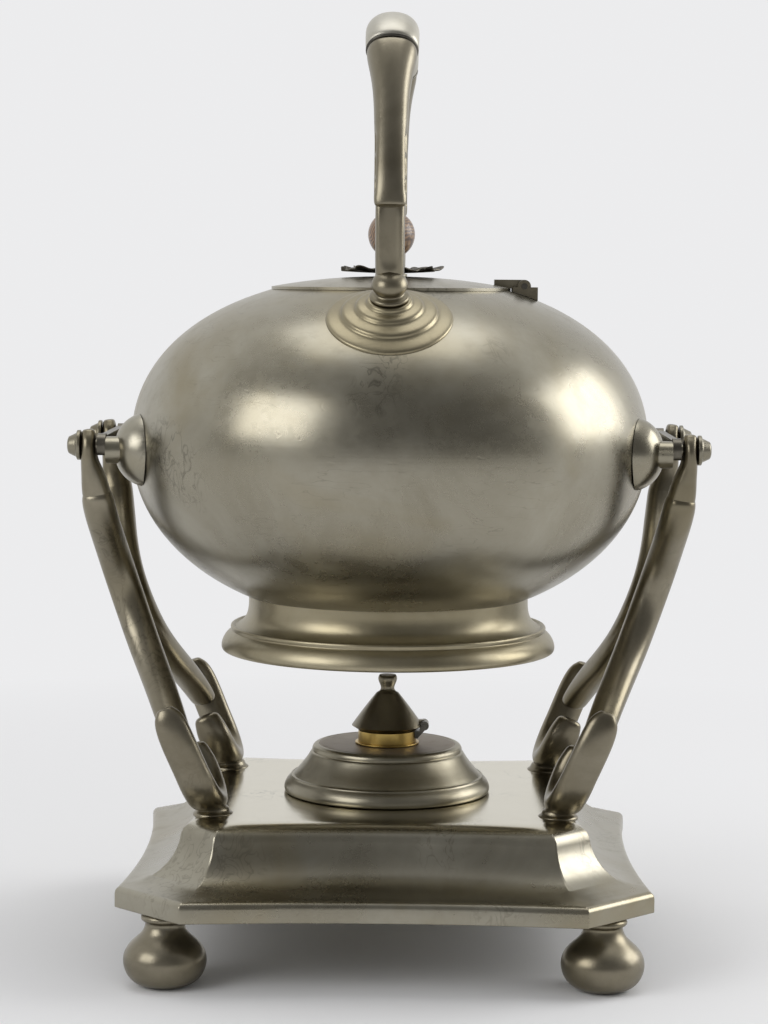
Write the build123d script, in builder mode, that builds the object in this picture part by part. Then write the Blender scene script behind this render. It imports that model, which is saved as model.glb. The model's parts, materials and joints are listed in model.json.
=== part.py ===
"""A pewter spirit kettle on its stand: a tilting kettle with a hinged lid, over a small spirit burner.

The origin is the middle of the stand on the table. +Z is up, -Y is the near end, +Y the spout.
"""

from build123d import *

import os
from math import atan2, cos, degrees, pi, radians, sin

os.makedirs("parts", exist_ok=True)

# ================================================================ driving dimensions, mm

# base and feet
foot_spread = 83.8  # each bun foot, from the middle, in X and in Y
foot_r = 16.2
foot_neck_r = 7.2
foot_neck_z = 23.6
foot_tip_r = 7.0  # flat underside
stud_r = 2.5
stud_reach = 5.0  # of the stud, up into the base
base_underside = 28.3
flange_half = 104.0
flange_corner = 76.9  # where each cut corner starts
flange_height = 8.2
flange_round = 1.8
cove_foot_half = 100.0
cove_head_half = 74.5
cove_height = 17.5
plateau_half = 71.5
plateau_corner = 62.0
plateau_top = 60.2
side_bow = 4.5  # how far each side is hollowed in plan
base_wall = 3.0
foot_boss_r = 8.0
foot_boss_drop = 0.6  # of the bosses, below the flange's top

# uprights and their pins
pin_z = 204.0
pin_y = 36.0
pin_r = 2.4
pin_button_r = 6.0
pin_button_length = 5.6
pin_collar_length = 1.6
head_reach = 10.3  # of the heads, out from the kettle's widest place
head_thick = 6.0
head_round = 1.6
head_r = 6.9
waist_y = 9.8
scroll_r = 14.4  # centre line of the foot's curl
scroll_width = 11.4
scroll_depth = 7.4
scroll_ear = 24.0  # height of the outer tip over the curl's middle
scroll_lean = 0.42  # outwards, for each mm up
upright_foot_x = 69.5
upright_foot_y = 50.0
upright_pad_r = 5.8
upright_pad_inset = 1.8  # of the pad, in from the curl's lowest point
upright_pad_height = 1.6

# kettle
body_r = 105.2
body_z = 203.2
shoulder_rise = 68.6
shoulder_fullness = 2.2
belly_drop = 72.4
belly_fullness = 2.1
body_wall = 2.2
mouth_ring_height = 4.6
ring_neck_r = 57.6
ring_lip_r = 68.4
ring_bottom = 119.0
ring_lip_height = 2.6  # of the lip's widest place
ring_step_height = 8.4
ring_height = 26.0
ring_wall = 2.4

# domes on the sides and the crossbars that they carry
dome_r = 14.4
dome_z = 202.0
dome_depth = 9.4  # from the dome's rim to its neck
dome_rim_drop = 1.9  # of the rim, in from the kettle's widest place
dome_neck_r = 5.4
bar_thick = 3.2
bar_height = 7.6
bar_lug_r = 4.7
notch_gap = 0.35

# lid
lid_r = 48.5
lid_overhang = 4.0  # of the lid, past the mouth
lid_edge = 1.1
lid_crown = 4.4
lid_wall = 1.6
bezel_depth = 4.0
bezel_wall = 1.6
bezel_gap = 0.5
lid_boss_r = 6.5
lid_boss_height = 1.0
rosette_r = 22.0
rosette_cup = 2.0
rosette_sheet = 1.0
rosette_flat_r = 6.4  # where the sheet starts to rise
rosette_leaves = 8
knob_r = 9.5
knob_z = 288.2
knob_stem_r = 4.4
knob_stud_r = 1.5
knob_stud_reach = 14.0
stud_proud = 1.0  # of the stud, under its nut
knob_nut_r = 3.4
knob_nut_height = 2.2
hinge_reach = 5.3  # of the hinge's axis, out from the lid's edge
hinge_rise = 2.0  # of the hinge's axis over the mouth
knuckle_r = 2.6
hinge_pin_r = 1.2
lid_knuckle_length = 6.0
body_knuckle_length = 4.8
leaf_thick = 1.2
leaf_reach = 12.0  # of the lid's leaf, in over the lid

# handle
socket_inset = 34.7  # of the sockets, in from the kettle's widest place
socket_rings = ((22.8, 1.5), (17.4, 3.2), (12.2, 5.0))  # radius, and height above the body
socket_top = 7.0
handle_peg_r = 2.6
handle_peg_length = 5.0
handle_foot_r = 7.4
handle_ball_r = 6.8
handle_ball_rise = 5.6
arm_width = 12.4  # where the arm is slender
grip_z = 366.8
grip_half_length = 50.0
grip_half_width = 10.2
grip_half_height = 8.6
grip_arch = 1.6
grip_tenon_r = 5.0
grip_tenon_length = 7.0
grip_ring_thick = 2.0
grip_ring_proud = 0.5

# spout
spout_root_r = 17.0
spout_tip_r = 6.6
spout_wall = 1.7
spout_root_z = 180.0
spout_reach = 54.8  # of the tip, out from the kettle's widest place
spout_tip_z = 260.0
spout_collar_r = 21.0
spout_collar_height = 1.6

# burner
burner_r = 42.3
burner_ridge_r = 38.9
burner_ridge_height = 6.4
burner_top_r = 29.4
burner_height = 19.8
burner_wall = 1.8
burner_edge = 1.6  # height of the burner's top rim
font_base_inset = 4.3
font_base_thick = 1.4
collar_r = 11.9
collar_stand = 5.4  # of the collar, over the burner's top
collar_depth = 4.4  # of the collar, down inside the burner
collar_wall = 1.5
wick_tube_r = 4.5
wick_tube_wall = 0.8
wick_tube_depth = 12.0
wick_show = 2.4
wick_length = 24.0
snuffer_r = 14.6
snuffer_wall = 1.2
snuffer_cone_height = 15.2
snuffer_shoulder_r = 4.5
snuffer_neck_r = 2.8
snuffer_knob_r = 3.8
snuffer_height = 22.6
snuffer_hinge_reach = 3.3  # of the snuffer's hinge, out from the collar
snuffer_knuckle_r = 1.9
snuffer_knuckle_length = 3.0
snuffer_ear_length = 1.8
ear_depth = 3.0  # of the ears, down the collar's side
snuffer_pin_r = 0.8

# clearances
run_gap = 0.05  # radial, of a shaft in its hole
side_gap = 0.3  # between faces that pass each other
bar_gap = 0.6  # between a crossbar and the heads beside it
lid_gap = 0.05  # under the closed lid

# ================================================================ what follows from them


def shoulder_height(r):
    """Height of the kettle's shoulder at radius r."""
    share = (1 - (r / body_r) ** shoulder_fullness) ** (1 / shoulder_fullness)
    return body_z + shoulder_rise * share


def shoulder_slope(r):
    """How far the shoulder's normal leans from upright at radius r, in degrees."""
    rise = (shoulder_height(r) - body_z) / shoulder_rise
    outwards = (r / body_r) ** (shoulder_fullness - 1) / body_r
    upwards = rise ** (shoulder_fullness - 1) / shoulder_rise
    return degrees(atan2(outwards, upwards))


lip_top = base_underside + flange_height
head_inner_x = body_r + head_reach
head_outer_x = head_inner_x + head_thick
bar_inner_x = head_inner_x - bar_gap - bar_thick
mouth_r = lid_r - lid_overhang
mouth_z = shoulder_height(lid_r)
body_bottom = body_z - belly_drop
lid_base = mouth_z + lid_gap
lid_top = lid_base + lid_edge + lid_crown
rosette_base = lid_top + lid_boss_height
hinge_x = lid_r + hinge_reach
hinge_z = mouth_z + hinge_rise
hinge_length = lid_knuckle_length + 2 * (side_gap + body_knuckle_length)
socket_y = body_r - socket_inset
socket_slope = shoulder_slope(socket_y)
spout_tip_y = body_r + spout_reach
font_base_r = burner_r - font_base_inset
burner_top = plateau_top + burner_height
collar_top = burner_top + collar_stand
snuffer_base = collar_top + side_gap
snuffer_hinge_x = collar_r + snuffer_hinge_reach
snuffer_hinge_z = snuffer_base + snuffer_knuckle_r


def rounded_quarter(widest, rise, fullness, steps=8):
    """Points of a full quarter outline, from the widest place at body_z to the axis."""
    angles = [pi / 2 * step / steps for step in range(steps + 1)]
    return [
        (widest * abs(cos(a)) ** (2 / fullness), body_z + rise * sin(a) ** (2 / fullness)) for a in angles
    ]


def bowl(grow):
    """The closed form of the kettle's body as one solid, larger all round by grow."""
    belly = rounded_quarter(body_r + grow, -belly_drop - grow, belly_fullness)
    shoulder = rounded_quarter(body_r + grow, shoulder_rise + grow, shoulder_fullness)
    with BuildPart() as form:
        with BuildSketch(Plane.XZ):
            with BuildLine():
                Spline(*reversed(belly), tangents=[(1, 0), (0, 1)])
                Spline(*shoulder, tangents=[(0, 1), (-1, 0)])
                Line(shoulder[-1], belly[-1])
            make_face()
        revolve(axis=Axis.Z)
    return form.part


def course(points):
    """Planes along a curved limb, each square to it, with their x across the limb."""
    planes = []
    for i, point in enumerate(points):
        before = Vector(*points[max(i - 1, 0)])
        after = Vector(*points[min(i + 1, len(points) - 1)])
        along = (after - before).normalized()
        across = (Vector(1, 0, 0) - along * along.X).normalized()
        planes.append(Plane(origin=point, x_dir=across, z_dir=along))
    return planes


bowl_outside = bowl(0)

# ================================================================ base


def base_section(height, half, corner):
    """One level of the base: a square with cut corners, its sides hollowed in plan."""
    with BuildSketch(Plane.XY.offset(height)) as section:
        with BuildLine():
            for quarter in range(4):
                turn = Location((0, 0), 90 * quarter)
                start, middle, end, after = (
                    (turn * Location(point)).position
                    for point in ((half, -corner), (half - side_bow, 0), (half, corner), (corner, half))
                )
                ThreePointArc(start, middle, end)
                Line(end, after)
        make_face()
    return section.sketch


def corner_at(half):
    """Where the cut corner starts at a level of this half width."""
    share = (half - plateau_half) / (flange_half - plateau_half)
    return plateau_corner + share * (flange_corner - plateau_corner)


def base_form(inset):
    """The base as a closed solid: a flange, a cove and a rounded plateau, smaller all round by inset."""
    cove = [pi / 2 * step / 4 for step in range(5)]
    crown = [pi / 2 * step / 3 for step in range(4)]
    crown_width = cove_head_half - plateau_half
    crown_height = plateau_top - lip_top - cove_height
    with BuildPart() as form:
        add(base_section(base_underside, flange_half - inset, corner_at(flange_half) - inset / 2))
        extrude(amount=flange_height - inset)
        for angle in cove:
            half = cove_foot_half - (cove_foot_half - cove_head_half) * sin(angle)
            height = lip_top + cove_height * (1 - cos(angle))
            add(base_section(height - inset, half - inset, corner_at(half) - inset / 2))
        loft()
        for angle in crown:
            half = plateau_half + crown_width * cos(angle)
            height = lip_top + cove_height + crown_height * sin(angle)
            add(base_section(height - inset, half - inset, corner_at(half) - inset / 2))
        loft()
    return form.part


foot_places = [
    (end, side, y_sign * foot_spread, x_sign * foot_spread)
    for end, y_sign in (("near", -1), ("far", 1))
    for side, x_sign in (("left", -1), ("right", 1))
]

with BuildPart() as base_shell:
    add(base_form(0))
    lip_edges = base_shell.edges().filter_by_position(Axis.Z, lip_top - 0.01, lip_top + 0.01)
    outer_lip = lip_edges.filter_by(lambda edge: edge.center().length > cove_foot_half - side_bow)
    fillet(outer_lip, radius=flange_round)
    add(base_form(base_wall), mode=Mode.SUBTRACT)
    with BuildSketch(Plane.XY.offset(base_underside)):
        with Locations(*[(x, y) for _, _, y, x in foot_places]):
            Circle(foot_boss_r)
            Circle(stud_r + run_gap, mode=Mode.SUBTRACT)
    extrude(amount=flange_height - foot_boss_drop)
base_shell.part.label = "base_shell"
export_step(base_shell.part, "parts/base_shell.step")

# bun feet, each turned in one piece with its stud
for end, side, foot_y, foot_x in foot_places:
    with BuildPart() as bun_foot:
        with BuildSketch(Plane.XZ):
            with BuildLine():
                Line((0, 0), (foot_tip_r, 0))
                Spline(
                    (foot_tip_r, 0),
                    (0.90 * foot_r, 0.19 * foot_neck_z),
                    (foot_r, 0.43 * foot_neck_z),
                    (0.79 * foot_r, 0.72 * foot_neck_z),
                    (foot_neck_r, foot_neck_z),
                    tangents=[(1, 0.1), (-0.15, 1)],
                )
                Line((foot_neck_r, foot_neck_z), (1.08 * foot_neck_r, base_underside))
                Line((1.08 * foot_neck_r, base_underside), (stud_r, base_underside))
                Line((stud_r, base_underside), (stud_r, base_underside + stud_reach))
                Line((stud_r, base_underside + stud_reach), (0, base_underside + stud_reach))
                Line((0, base_underside + stud_reach), (0, 0))
            make_face()
        revolve(axis=Axis.Z)
    placed_foot = bun_foot.part.moved(Location((foot_x, foot_y, 0)))
    placed_foot.label = f"bun_foot_{end}_{side}"
    export_step(placed_foot, f"parts/bun_foot_{end}_{side}.step")

# ================================================================ uprights

# heights and leans as shares of the way from foot to pin, spreads as shares of the way out from the
# waist, to the pin above it and to the curl below it, then width and depth
limb_above_waist = (
    (0.960, 1.00, 1.00, 6.0, 12.0),
    (0.934, 0.976, 1.00, 8.0, 11.8),
    (0.903, 0.953, 0.99, 10.0, 11.4),
    (0.840, 0.926, 0.92, 11.8, 10.8),
    (0.764, 0.887, 0.65, 12.4, 11.2),
    (0.694, 0.850, 0.24, 13.0, 12.0),
    (0.610, 0.790, 0.00, 13.2, 12.6),
)
limb_below_waist = (
    (0.513, 0.690, 0.02, 13.2, 12.6),
    (0.430, 0.590, 0.12, 13.0, 12.0),
    (0.360, 0.480, 0.31, 12.6, 11.0),
    (0.298, 0.375, 0.57, 12.2, 9.6),
    (0.242, 0.290, 0.76, 11.8, 8.0),
    (0.190, 0.215, 0.90, 10.8, 6.0),
    (0.152, 0.150, 0.99, 9.6, 4.4),
)
stand_rise = pin_z - plateau_top
upright_lean = (head_inner_x + head_outer_x) / 2 - upright_foot_x
curl_z = plateau_top + upright_pad_height + scroll_depth / 2 + scroll_r
curl_outer_y = upright_foot_y + scroll_r

limb_stations = []
for stations, waist_to in ((limb_above_waist, pin_y), (limb_below_waist, curl_outer_y)):
    for rise, lean, spread, width, depth in stations:
        point = (
            upright_foot_x + lean * upright_lean,
            -waist_y - spread * (waist_to - waist_y),
            plateau_top + rise * stand_rise,
        )
        limb_stations.append((point, width, depth))


def curl_point(out, up):
    """A point of the foot's curl, out and up from the curl's middle, on the leaning upright."""
    rise = curl_z + up - (curl_z - scroll_r)
    return (upright_foot_x + scroll_lean * rise, -upright_foot_y - out, curl_z + up)


curl_turns = [radians(turn) for turn in range(-185, 1, 37)]
curl_points = [curl_point(scroll_r * cos(turn), scroll_r * sin(turn)) for turn in curl_turns]
curl_points.append(curl_point(scroll_r + 1.8, scroll_ear * 0.5))
curl_points.append(curl_point(scroll_r + 1.6, scroll_ear))
curl_tapers = [0.62, 0.86] + [1.0] * (len(curl_points) - 3) + [0.8]

with BuildPart() as upright_near_right:
    for plane, (_, width, depth) in zip(course([point for point, _, _ in limb_stations]), limb_stations):
        with BuildSketch(plane):
            Ellipse(width / 2, depth / 2)
    loft()
    for plane, taper in zip(course(curl_points), curl_tapers):
        with BuildSketch(plane):
            Ellipse(scroll_width / 2 * taper, scroll_depth / 2 * taper)
    loft()
    with BuildSketch(Plane.YZ.offset(head_inner_x)):
        with Locations((-pin_y, pin_z)):
            Circle(head_r)
    extrude(amount=head_thick)
    head_rims = upright_near_right.edges().filter_by(GeomType.CIRCLE).filter_by(
        lambda edge: edge.bounding_box().max.Z > pin_z + head_r - 0.1
    )
    fillet(head_rims, radius=head_round)
    with BuildSketch(Plane.XY.offset(plateau_top)):
        with Locations((upright_foot_x - upright_pad_inset, -upright_foot_y)):
            Circle(upright_pad_r)
    extrude(amount=upright_pad_height + scroll_depth / 3, taper=20)
    with BuildSketch(Plane.YZ.offset(head_inner_x - side_gap)):
        with Locations((-pin_y, pin_z)):
            Circle(pin_r + run_gap)
    extrude(amount=head_thick + 2 * side_gap, mode=Mode.SUBTRACT)

uprights = {
    "upright_near_right": upright_near_right.part,
    "upright_near_left": mirror(upright_near_right.part, about=Plane.YZ),
    "upright_far_right": mirror(upright_near_right.part, about=Plane.XZ),
}
uprights["upright_far_left"] = mirror(uprights["upright_near_left"], about=Plane.XZ)
for node, upright in uprights.items():
    upright.label = node
    export_step(upright, f"parts/{node}.step")

# turned pins: the far pair carries the tilting kettle, the near pair only props it
pin_end_x = bar_inner_x + side_gap
button_x = head_outer_x
button_end_x = button_x + pin_button_length
with BuildPart() as prop_pin_right:
    with BuildSketch(Plane.XY.offset(pin_z)):
        with BuildLine():
            Polyline(
                (pin_end_x, -pin_y),
                (pin_end_x, -pin_y + pin_r),
                (button_x, -pin_y + pin_r),
                (button_x, -pin_y + pin_button_r),
                (button_x + pin_collar_length, -pin_y + pin_button_r),
                (button_x + 1.3 * pin_collar_length, -pin_y + 0.8 * pin_button_r),
                (button_x + 0.82 * pin_button_length, -pin_y + 0.55 * pin_button_r),
                (button_end_x, -pin_y + 0.3 * pin_button_r),
                (button_end_x, -pin_y),
                close=True,
            )
        make_face()
    revolve(axis=Axis((0, -pin_y, pin_z), (1, 0, 0)))

pins = {
    "prop_pin_right": prop_pin_right.part,
    "prop_pin_left": mirror(prop_pin_right.part, about=Plane.YZ),
    "pivot_pin_right": mirror(prop_pin_right.part, about=Plane.XZ),
}
pins["pivot_pin_left"] = mirror(pins["prop_pin_left"], about=Plane.XZ)
for node, pin in pins.items():
    pin.label = node
    export_step(pin, f"parts/{node}.step")

# ================================================================ spout

# points along the middle of the spout as shares of the way out and up, then the outside radius as a
# share of the way from tip to root
spout_course = (
    (-0.22, -0.03, 1.06),
    (0.00, 0.00, 1.00),
    (0.20, 0.10, 0.80),
    (0.38, 0.26, 0.55),
    (0.53, 0.46, 0.33),
    (0.67, 0.67, 0.16),
    (0.83, 0.86, 0.05),
    (1.00, 1.00, 0.00),
)
spout_root_y = body_r - 3.0
spout_run = spout_tip_y - spout_root_y
spout_climb = spout_tip_z - spout_root_z
spout_middle = [(0, spout_root_y + out * spout_run, spout_root_z + up * spout_climb) for out, up, _ in spout_course]
spout_radii = [spout_tip_r + share * (spout_root_r - spout_tip_r) for _, _, share in spout_course]


def spout_form(radii):
    """The spout's form as one solid along its curved middle."""
    with BuildPart() as form:
        for plane, radius in zip(course(spout_middle), radii):
            with BuildSketch(plane):
                Circle(radius)
        loft()
    return form.part


spout_bore = spout_form([radius - spout_wall for radius in spout_radii])

with BuildPart() as spout:
    add(spout_form(spout_radii))
    add(spout_bore, mode=Mode.SUBTRACT)
    add(bowl_outside, mode=Mode.SUBTRACT)
spout.part.label = "spout"
export_step(spout.part, "parts/spout.step")

# a low moulding round the spout's root, on the body
with BuildPart() as spout_collar:
    with BuildSketch(course(spout_middle)[1].offset(-spout_collar_r)):
        Circle(spout_collar_r)
    extrude(amount=2 * spout_collar_r)
    add(bowl(spout_collar_height), mode=Mode.INTERSECT)
    add(bowl_outside, mode=Mode.SUBTRACT)
    add(spout_form(spout_radii), mode=Mode.SUBTRACT)
spout_collar.part.label = "spout_collar"
export_step(spout_collar.part, "parts/spout_collar.step")

# ================================================================ kettle body

bowl_inside = bowl(-body_wall)

# the kettle's belly and shoulder meet at its widest place, and each is made in a near and a far half
with BuildPart() as kettle_belly:
    add(bowl_outside)
    split(bisect_by=Plane.XY.offset(body_z), keep=Keep.BOTTOM)
    add(bowl_inside, mode=Mode.SUBTRACT)
    add(spout_bore, mode=Mode.SUBTRACT)

with BuildPart() as kettle_shoulder:
    add(bowl_outside)
    split(bisect_by=Plane.XY.offset(body_z), keep=Keep.TOP)
    split(bisect_by=Plane.XY.offset(mouth_z), keep=Keep.BOTTOM)
    add(bowl_inside, mode=Mode.SUBTRACT)
    with BuildSketch(Plane.XY.offset(mouth_z)):
        Circle(lid_r - side_gap)
    extrude(amount=-mouth_ring_height)
    with BuildSketch(Plane.XY.offset(mouth_z)):
        Circle(mouth_r)
    extrude(amount=-2 * mouth_ring_height, mode=Mode.SUBTRACT)

for name, shell in (("kettle_belly", kettle_belly.part), ("kettle_shoulder", kettle_shoulder.part)):
    for end, side in (("near", Keep.TOP), ("far", Keep.BOTTOM)):
        with BuildPart() as half_shell:
            add(shell)
            split(bisect_by=Plane.XZ, keep=side)
        half_shell.part.label = f"{name}_{end}"
        export_step(half_shell.part, f"parts/{name}_{end}.step")

# the foot ring: a flared collar with a moulded lip, soldered under the belly
ring_lip_z = ring_bottom + ring_lip_height
ring_step_z = ring_bottom + ring_step_height
ring_head_z = ring_bottom + ring_height
with BuildPart() as foot_ring:
    with BuildSketch(Plane.XZ):
        with BuildLine():
            outer = Spline(
                (ring_neck_r, ring_head_z),
                (ring_neck_r + 1.0, ring_step_z + 9.4),
                (ring_neck_r + 3.0, ring_step_z + 4.6),
                (ring_lip_r - 4.6, ring_step_z),
            )
            lip = Spline(
                (ring_lip_r - 3.9, ring_step_z - 0.7),
                (ring_lip_r - 1.0, ring_lip_z + 3.0),
                (ring_lip_r, ring_lip_z),
                (ring_lip_r - 0.9, ring_bottom),
            )
            Line(outer @ 1, lip @ 0)
            inside = Spline(
                (ring_lip_r - 0.9 - ring_wall, ring_bottom),
                (ring_lip_r - 4.8 - ring_wall, ring_step_z - 1.6),
                (ring_neck_r + 1.6 - ring_wall, ring_step_z + 8.0),
                (ring_neck_r - ring_wall, ring_head_z),
            )
            Line(lip @ 1, inside @ 0)
            Line(inside @ 1, outer @ 0)
        make_face()
    revolve(axis=Axis.Z)
    add(bowl_outside, mode=Mode.SUBTRACT)
foot_ring.part.label = "foot_ring"
export_step(foot_ring.part, "parts/foot_ring.step")

# ================================================================ side domes and crossbars

# each dome stands square to the kettle's side, towards its pin, and its neck ends at the crossbar
dome_turn = degrees(atan2(pin_y, head_inner_x))
dome_plane = Plane.XZ.rotated((0, 0, -dome_turn))
dome_rim_x = body_r - dome_rim_drop
neck_x = dome_rim_x + dome_depth
with BuildPart() as dome_near_right:
    with BuildSketch(dome_plane):
        with BuildLine():
            Polyline((body_r - dome_r, dome_z), (body_r - dome_r, dome_z + dome_r), (dome_rim_x, dome_z + dome_r))
            Spline(
                (dome_rim_x, dome_z + dome_r),
                (dome_rim_x + 0.42 * dome_depth, dome_z + 0.88 * dome_r),
                (dome_rim_x + 0.76 * dome_depth, dome_z + 0.68 * dome_r),
                (neck_x, dome_z + dome_neck_r),
            )
            Polyline(
                (neck_x, dome_z + dome_neck_r),
                (head_inner_x + dome_neck_r, dome_z + dome_neck_r),
                (head_inner_x + dome_neck_r, dome_z),
                (body_r - dome_r, dome_z),
            )
        make_face()
    revolve(axis=Axis((0, 0, dome_z), dome_plane.x_dir))
    split(bisect_by=Plane.YZ.offset(bar_inner_x), keep=Keep.BOTTOM)
    add(bowl_outside, mode=Mode.SUBTRACT)

# each crossbar turns on its far pin, and its notched near end sits over the near pin
with BuildPart() as crossbar_right:
    with BuildSketch(Plane.YZ.offset(bar_inner_x)):
        with Locations((0, pin_z)):
            Rectangle(2 * pin_y, bar_height)
        with Locations((-pin_y, pin_z), (pin_y, pin_z)):
            Circle(bar_lug_r)
        with Locations((-pin_y, pin_z)):
            Circle(pin_r + notch_gap, mode=Mode.SUBTRACT)
            Rectangle(
                2 * (pin_r + notch_gap), 2 * bar_lug_r, align=(Align.CENTER, Align.MAX), mode=Mode.SUBTRACT
            )
        with Locations((pin_y, pin_z)):
            Circle(pin_r + run_gap, mode=Mode.SUBTRACT)
    extrude(amount=bar_thick)

side_pieces = {
    "crossbar_right": crossbar_right.part,
    "dome_near_right": dome_near_right.part,
    "dome_far_right": mirror(dome_near_right.part, about=Plane.XZ),
}
for node, piece in list(side_pieces.items()):
    side_pieces[node.replace("right", "left")] = mirror(piece, about=Plane.YZ)
for node, piece in side_pieces.items():
    piece.label = node
    export_step(piece, f"parts/{node}.step")

# ================================================================ lid

with BuildPart() as lid_shell:
    with BuildSketch(Plane.XZ):
        with BuildLine():
            Line((0, lid_base), (mouth_r - bezel_gap, lid_base))
            Line((mouth_r - bezel_gap, lid_base), (lid_r, lid_base))
            Line((lid_r, lid_base), (lid_r, lid_base + lid_edge))
            crown = ThreePointArc(
                (lid_r, lid_base + lid_edge),
                (0.55 * lid_r, lid_base + lid_edge + 0.72 * lid_crown),
                (0, lid_top),
            )
            Line((0, lid_top), (0, lid_base))
        make_face()
    revolve(axis=Axis.Z)
    with BuildSketch(Plane.XZ):
        with BuildLine():
            hollow_r = mouth_r - bezel_gap - bezel_wall
            ThreePointArc(
                (hollow_r, lid_base),
                (0.55 * hollow_r, lid_base + 0.72 * (lid_top - lid_base - lid_wall)),
                (0, lid_top - lid_wall),
            )
            Polyline((0, lid_top - lid_wall), (0, lid_base), (hollow_r, lid_base))
        make_face()
    revolve(axis=Axis.Z, mode=Mode.SUBTRACT)
    with BuildSketch(Plane.XY.offset(lid_top - lid_wall)):
        Circle(lid_boss_r)
    extrude(amount=lid_wall + lid_boss_height)
    with BuildSketch(Plane.XY.offset(lid_base)):
        Circle(knob_stud_r + run_gap)
    extrude(amount=lid_crown + lid_edge + 2 * lid_boss_height, mode=Mode.SUBTRACT)
lid_shell.part.label = "lid_shell"
export_step(lid_shell.part, "parts/lid_shell.step")

with BuildPart() as lid_bezel:
    with BuildSketch(Plane.XY.offset(lid_base)):
        Circle(mouth_r - bezel_gap)
        Circle(mouth_r - bezel_gap - bezel_wall, mode=Mode.SUBTRACT)
    extrude(amount=-bezel_depth)
lid_bezel.part.label = "lid_bezel"
export_step(lid_bezel.part, "parts/lid_bezel.step")

# a cut and cupped leaf rosette under the knob
with BuildPart() as rosette:
    with BuildSketch(Plane.XY.offset(rosette_base)):
        Circle(0.62 * rosette_r)
        with PolarLocations(0.66 * rosette_r, rosette_leaves):
            Ellipse(0.34 * rosette_r, 0.25 * rosette_r)
        Circle(knob_stud_r + run_gap, mode=Mode.SUBTRACT)
    extrude(amount=rosette_cup + rosette_sheet)
    with BuildSketch(Plane.XZ):
        with BuildLine():
            for face_z in (rosette_base, rosette_base + rosette_sheet):
                Line((0, face_z), (rosette_flat_r, face_z))
                ThreePointArc(
                    (rosette_flat_r, face_z),
                    (0.68 * rosette_r, face_z + 0.34 * rosette_cup),
                    (1.02 * rosette_r, face_z + rosette_cup),
                )
            for edge_x, rise in ((0, 0), (1.02 * rosette_r, rosette_cup)):
                Line((edge_x, rosette_base + rise), (edge_x, rosette_base + rosette_sheet + rise))
        make_face()
    revolve(axis=Axis.Z, mode=Mode.INTERSECT)
rosette.part.label = "rosette"
export_step(rosette.part, "parts/rosette.step")

# the turned wooden knob, with a blind hole for its stud
knob_foot = rosette_base + rosette_sheet
knob_stem_top = knob_z - 0.86 * knob_r
with BuildPart() as lid_knob:
    with BuildSketch(Plane.XZ):
        with BuildLine():
            Polyline(
                (0, knob_z + knob_r),
                (0, knob_foot),
                (knob_stem_r + 1.2, knob_foot),
                (knob_stem_r + 1.2, knob_foot + 1.2),
                (knob_stem_r, knob_foot + 2.4),
                (knob_r * cos(radians(58)), knob_z - knob_r * sin(radians(58))),
            )
            ThreePointArc(
                (knob_r * cos(radians(58)), knob_z - knob_r * sin(radians(58))),
                (knob_r * cos(radians(-16)), knob_z - knob_r * sin(radians(-16))),
                (0, knob_z + knob_r),
            )
        make_face()
    revolve(axis=Axis.Z)
    with BuildSketch(Plane.XY.offset(knob_foot)):
        Circle(knob_stud_r + run_gap)
    extrude(amount=knob_stud_reach, mode=Mode.SUBTRACT)
lid_knob.part.label = "lid_knob"
export_step(lid_knob.part, "parts/lid_knob.step")

nut_top = lid_top - lid_wall
stud_bottom = nut_top - knob_nut_height - stud_proud
stud_top = knob_foot + knob_stud_reach - side_gap
with BuildPart() as knob_stud:
    with BuildSketch(Plane.XY.offset(stud_bottom)):
        Circle(knob_stud_r)
    extrude(amount=stud_top - stud_bottom)
knob_stud.part.label = "knob_stud"
export_step(knob_stud.part, "parts/knob_stud.step")

with BuildPart() as knob_nut:
    with BuildSketch(Plane.XY.offset(nut_top)):
        RegularPolygon(knob_nut_r, 6)
        Circle(knob_stud_r + run_gap, mode=Mode.SUBTRACT)
    extrude(amount=-knob_nut_height)
knob_nut.part.label = "knob_nut"
export_step(knob_nut.part, "parts/knob_nut.step")

# ---------------------------------------------------------------- lid hinge

with BuildPart() as lid_leaf:
    with BuildSketch(Plane.XZ.offset(-lid_knuckle_length / 2)):
        with Locations((hinge_x, hinge_z)):
            Circle(knuckle_r)
        with Locations((hinge_x - leaf_reach, hinge_z + knuckle_r)):
            Rectangle(leaf_reach, knuckle_r + hinge_rise - lid_gap, align=(Align.MIN, Align.MAX))
    extrude(amount=lid_knuckle_length)
    with BuildSketch(Plane.XZ.offset(-lid_knuckle_length)):
        with BuildLine():
            Polyline(
                (0, lid_base - 1),
                (lid_r + side_gap, lid_base - 1),
                (lid_r + side_gap, lid_base + lid_edge),
                (lid_r, lid_base + lid_edge),
            )
            ThreePointArc(
                (lid_r, lid_base + lid_edge),
                (0.55 * lid_r, lid_base + lid_edge + 0.72 * lid_crown),
                (0, lid_top),
            )
            Line((0, lid_top), (0, lid_base - 1))
        make_face()
    extrude(amount=2 * lid_knuckle_length, mode=Mode.SUBTRACT)
    with BuildSketch(Plane.XZ.offset(-lid_knuckle_length)):
        with Locations((hinge_x, hinge_z)):
            Circle(hinge_pin_r + run_gap)
    extrude(amount=2 * lid_knuckle_length, mode=Mode.SUBTRACT)
lid_leaf.part.label = "lid_leaf"
export_step(lid_leaf.part, "parts/lid_leaf.step")

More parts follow.
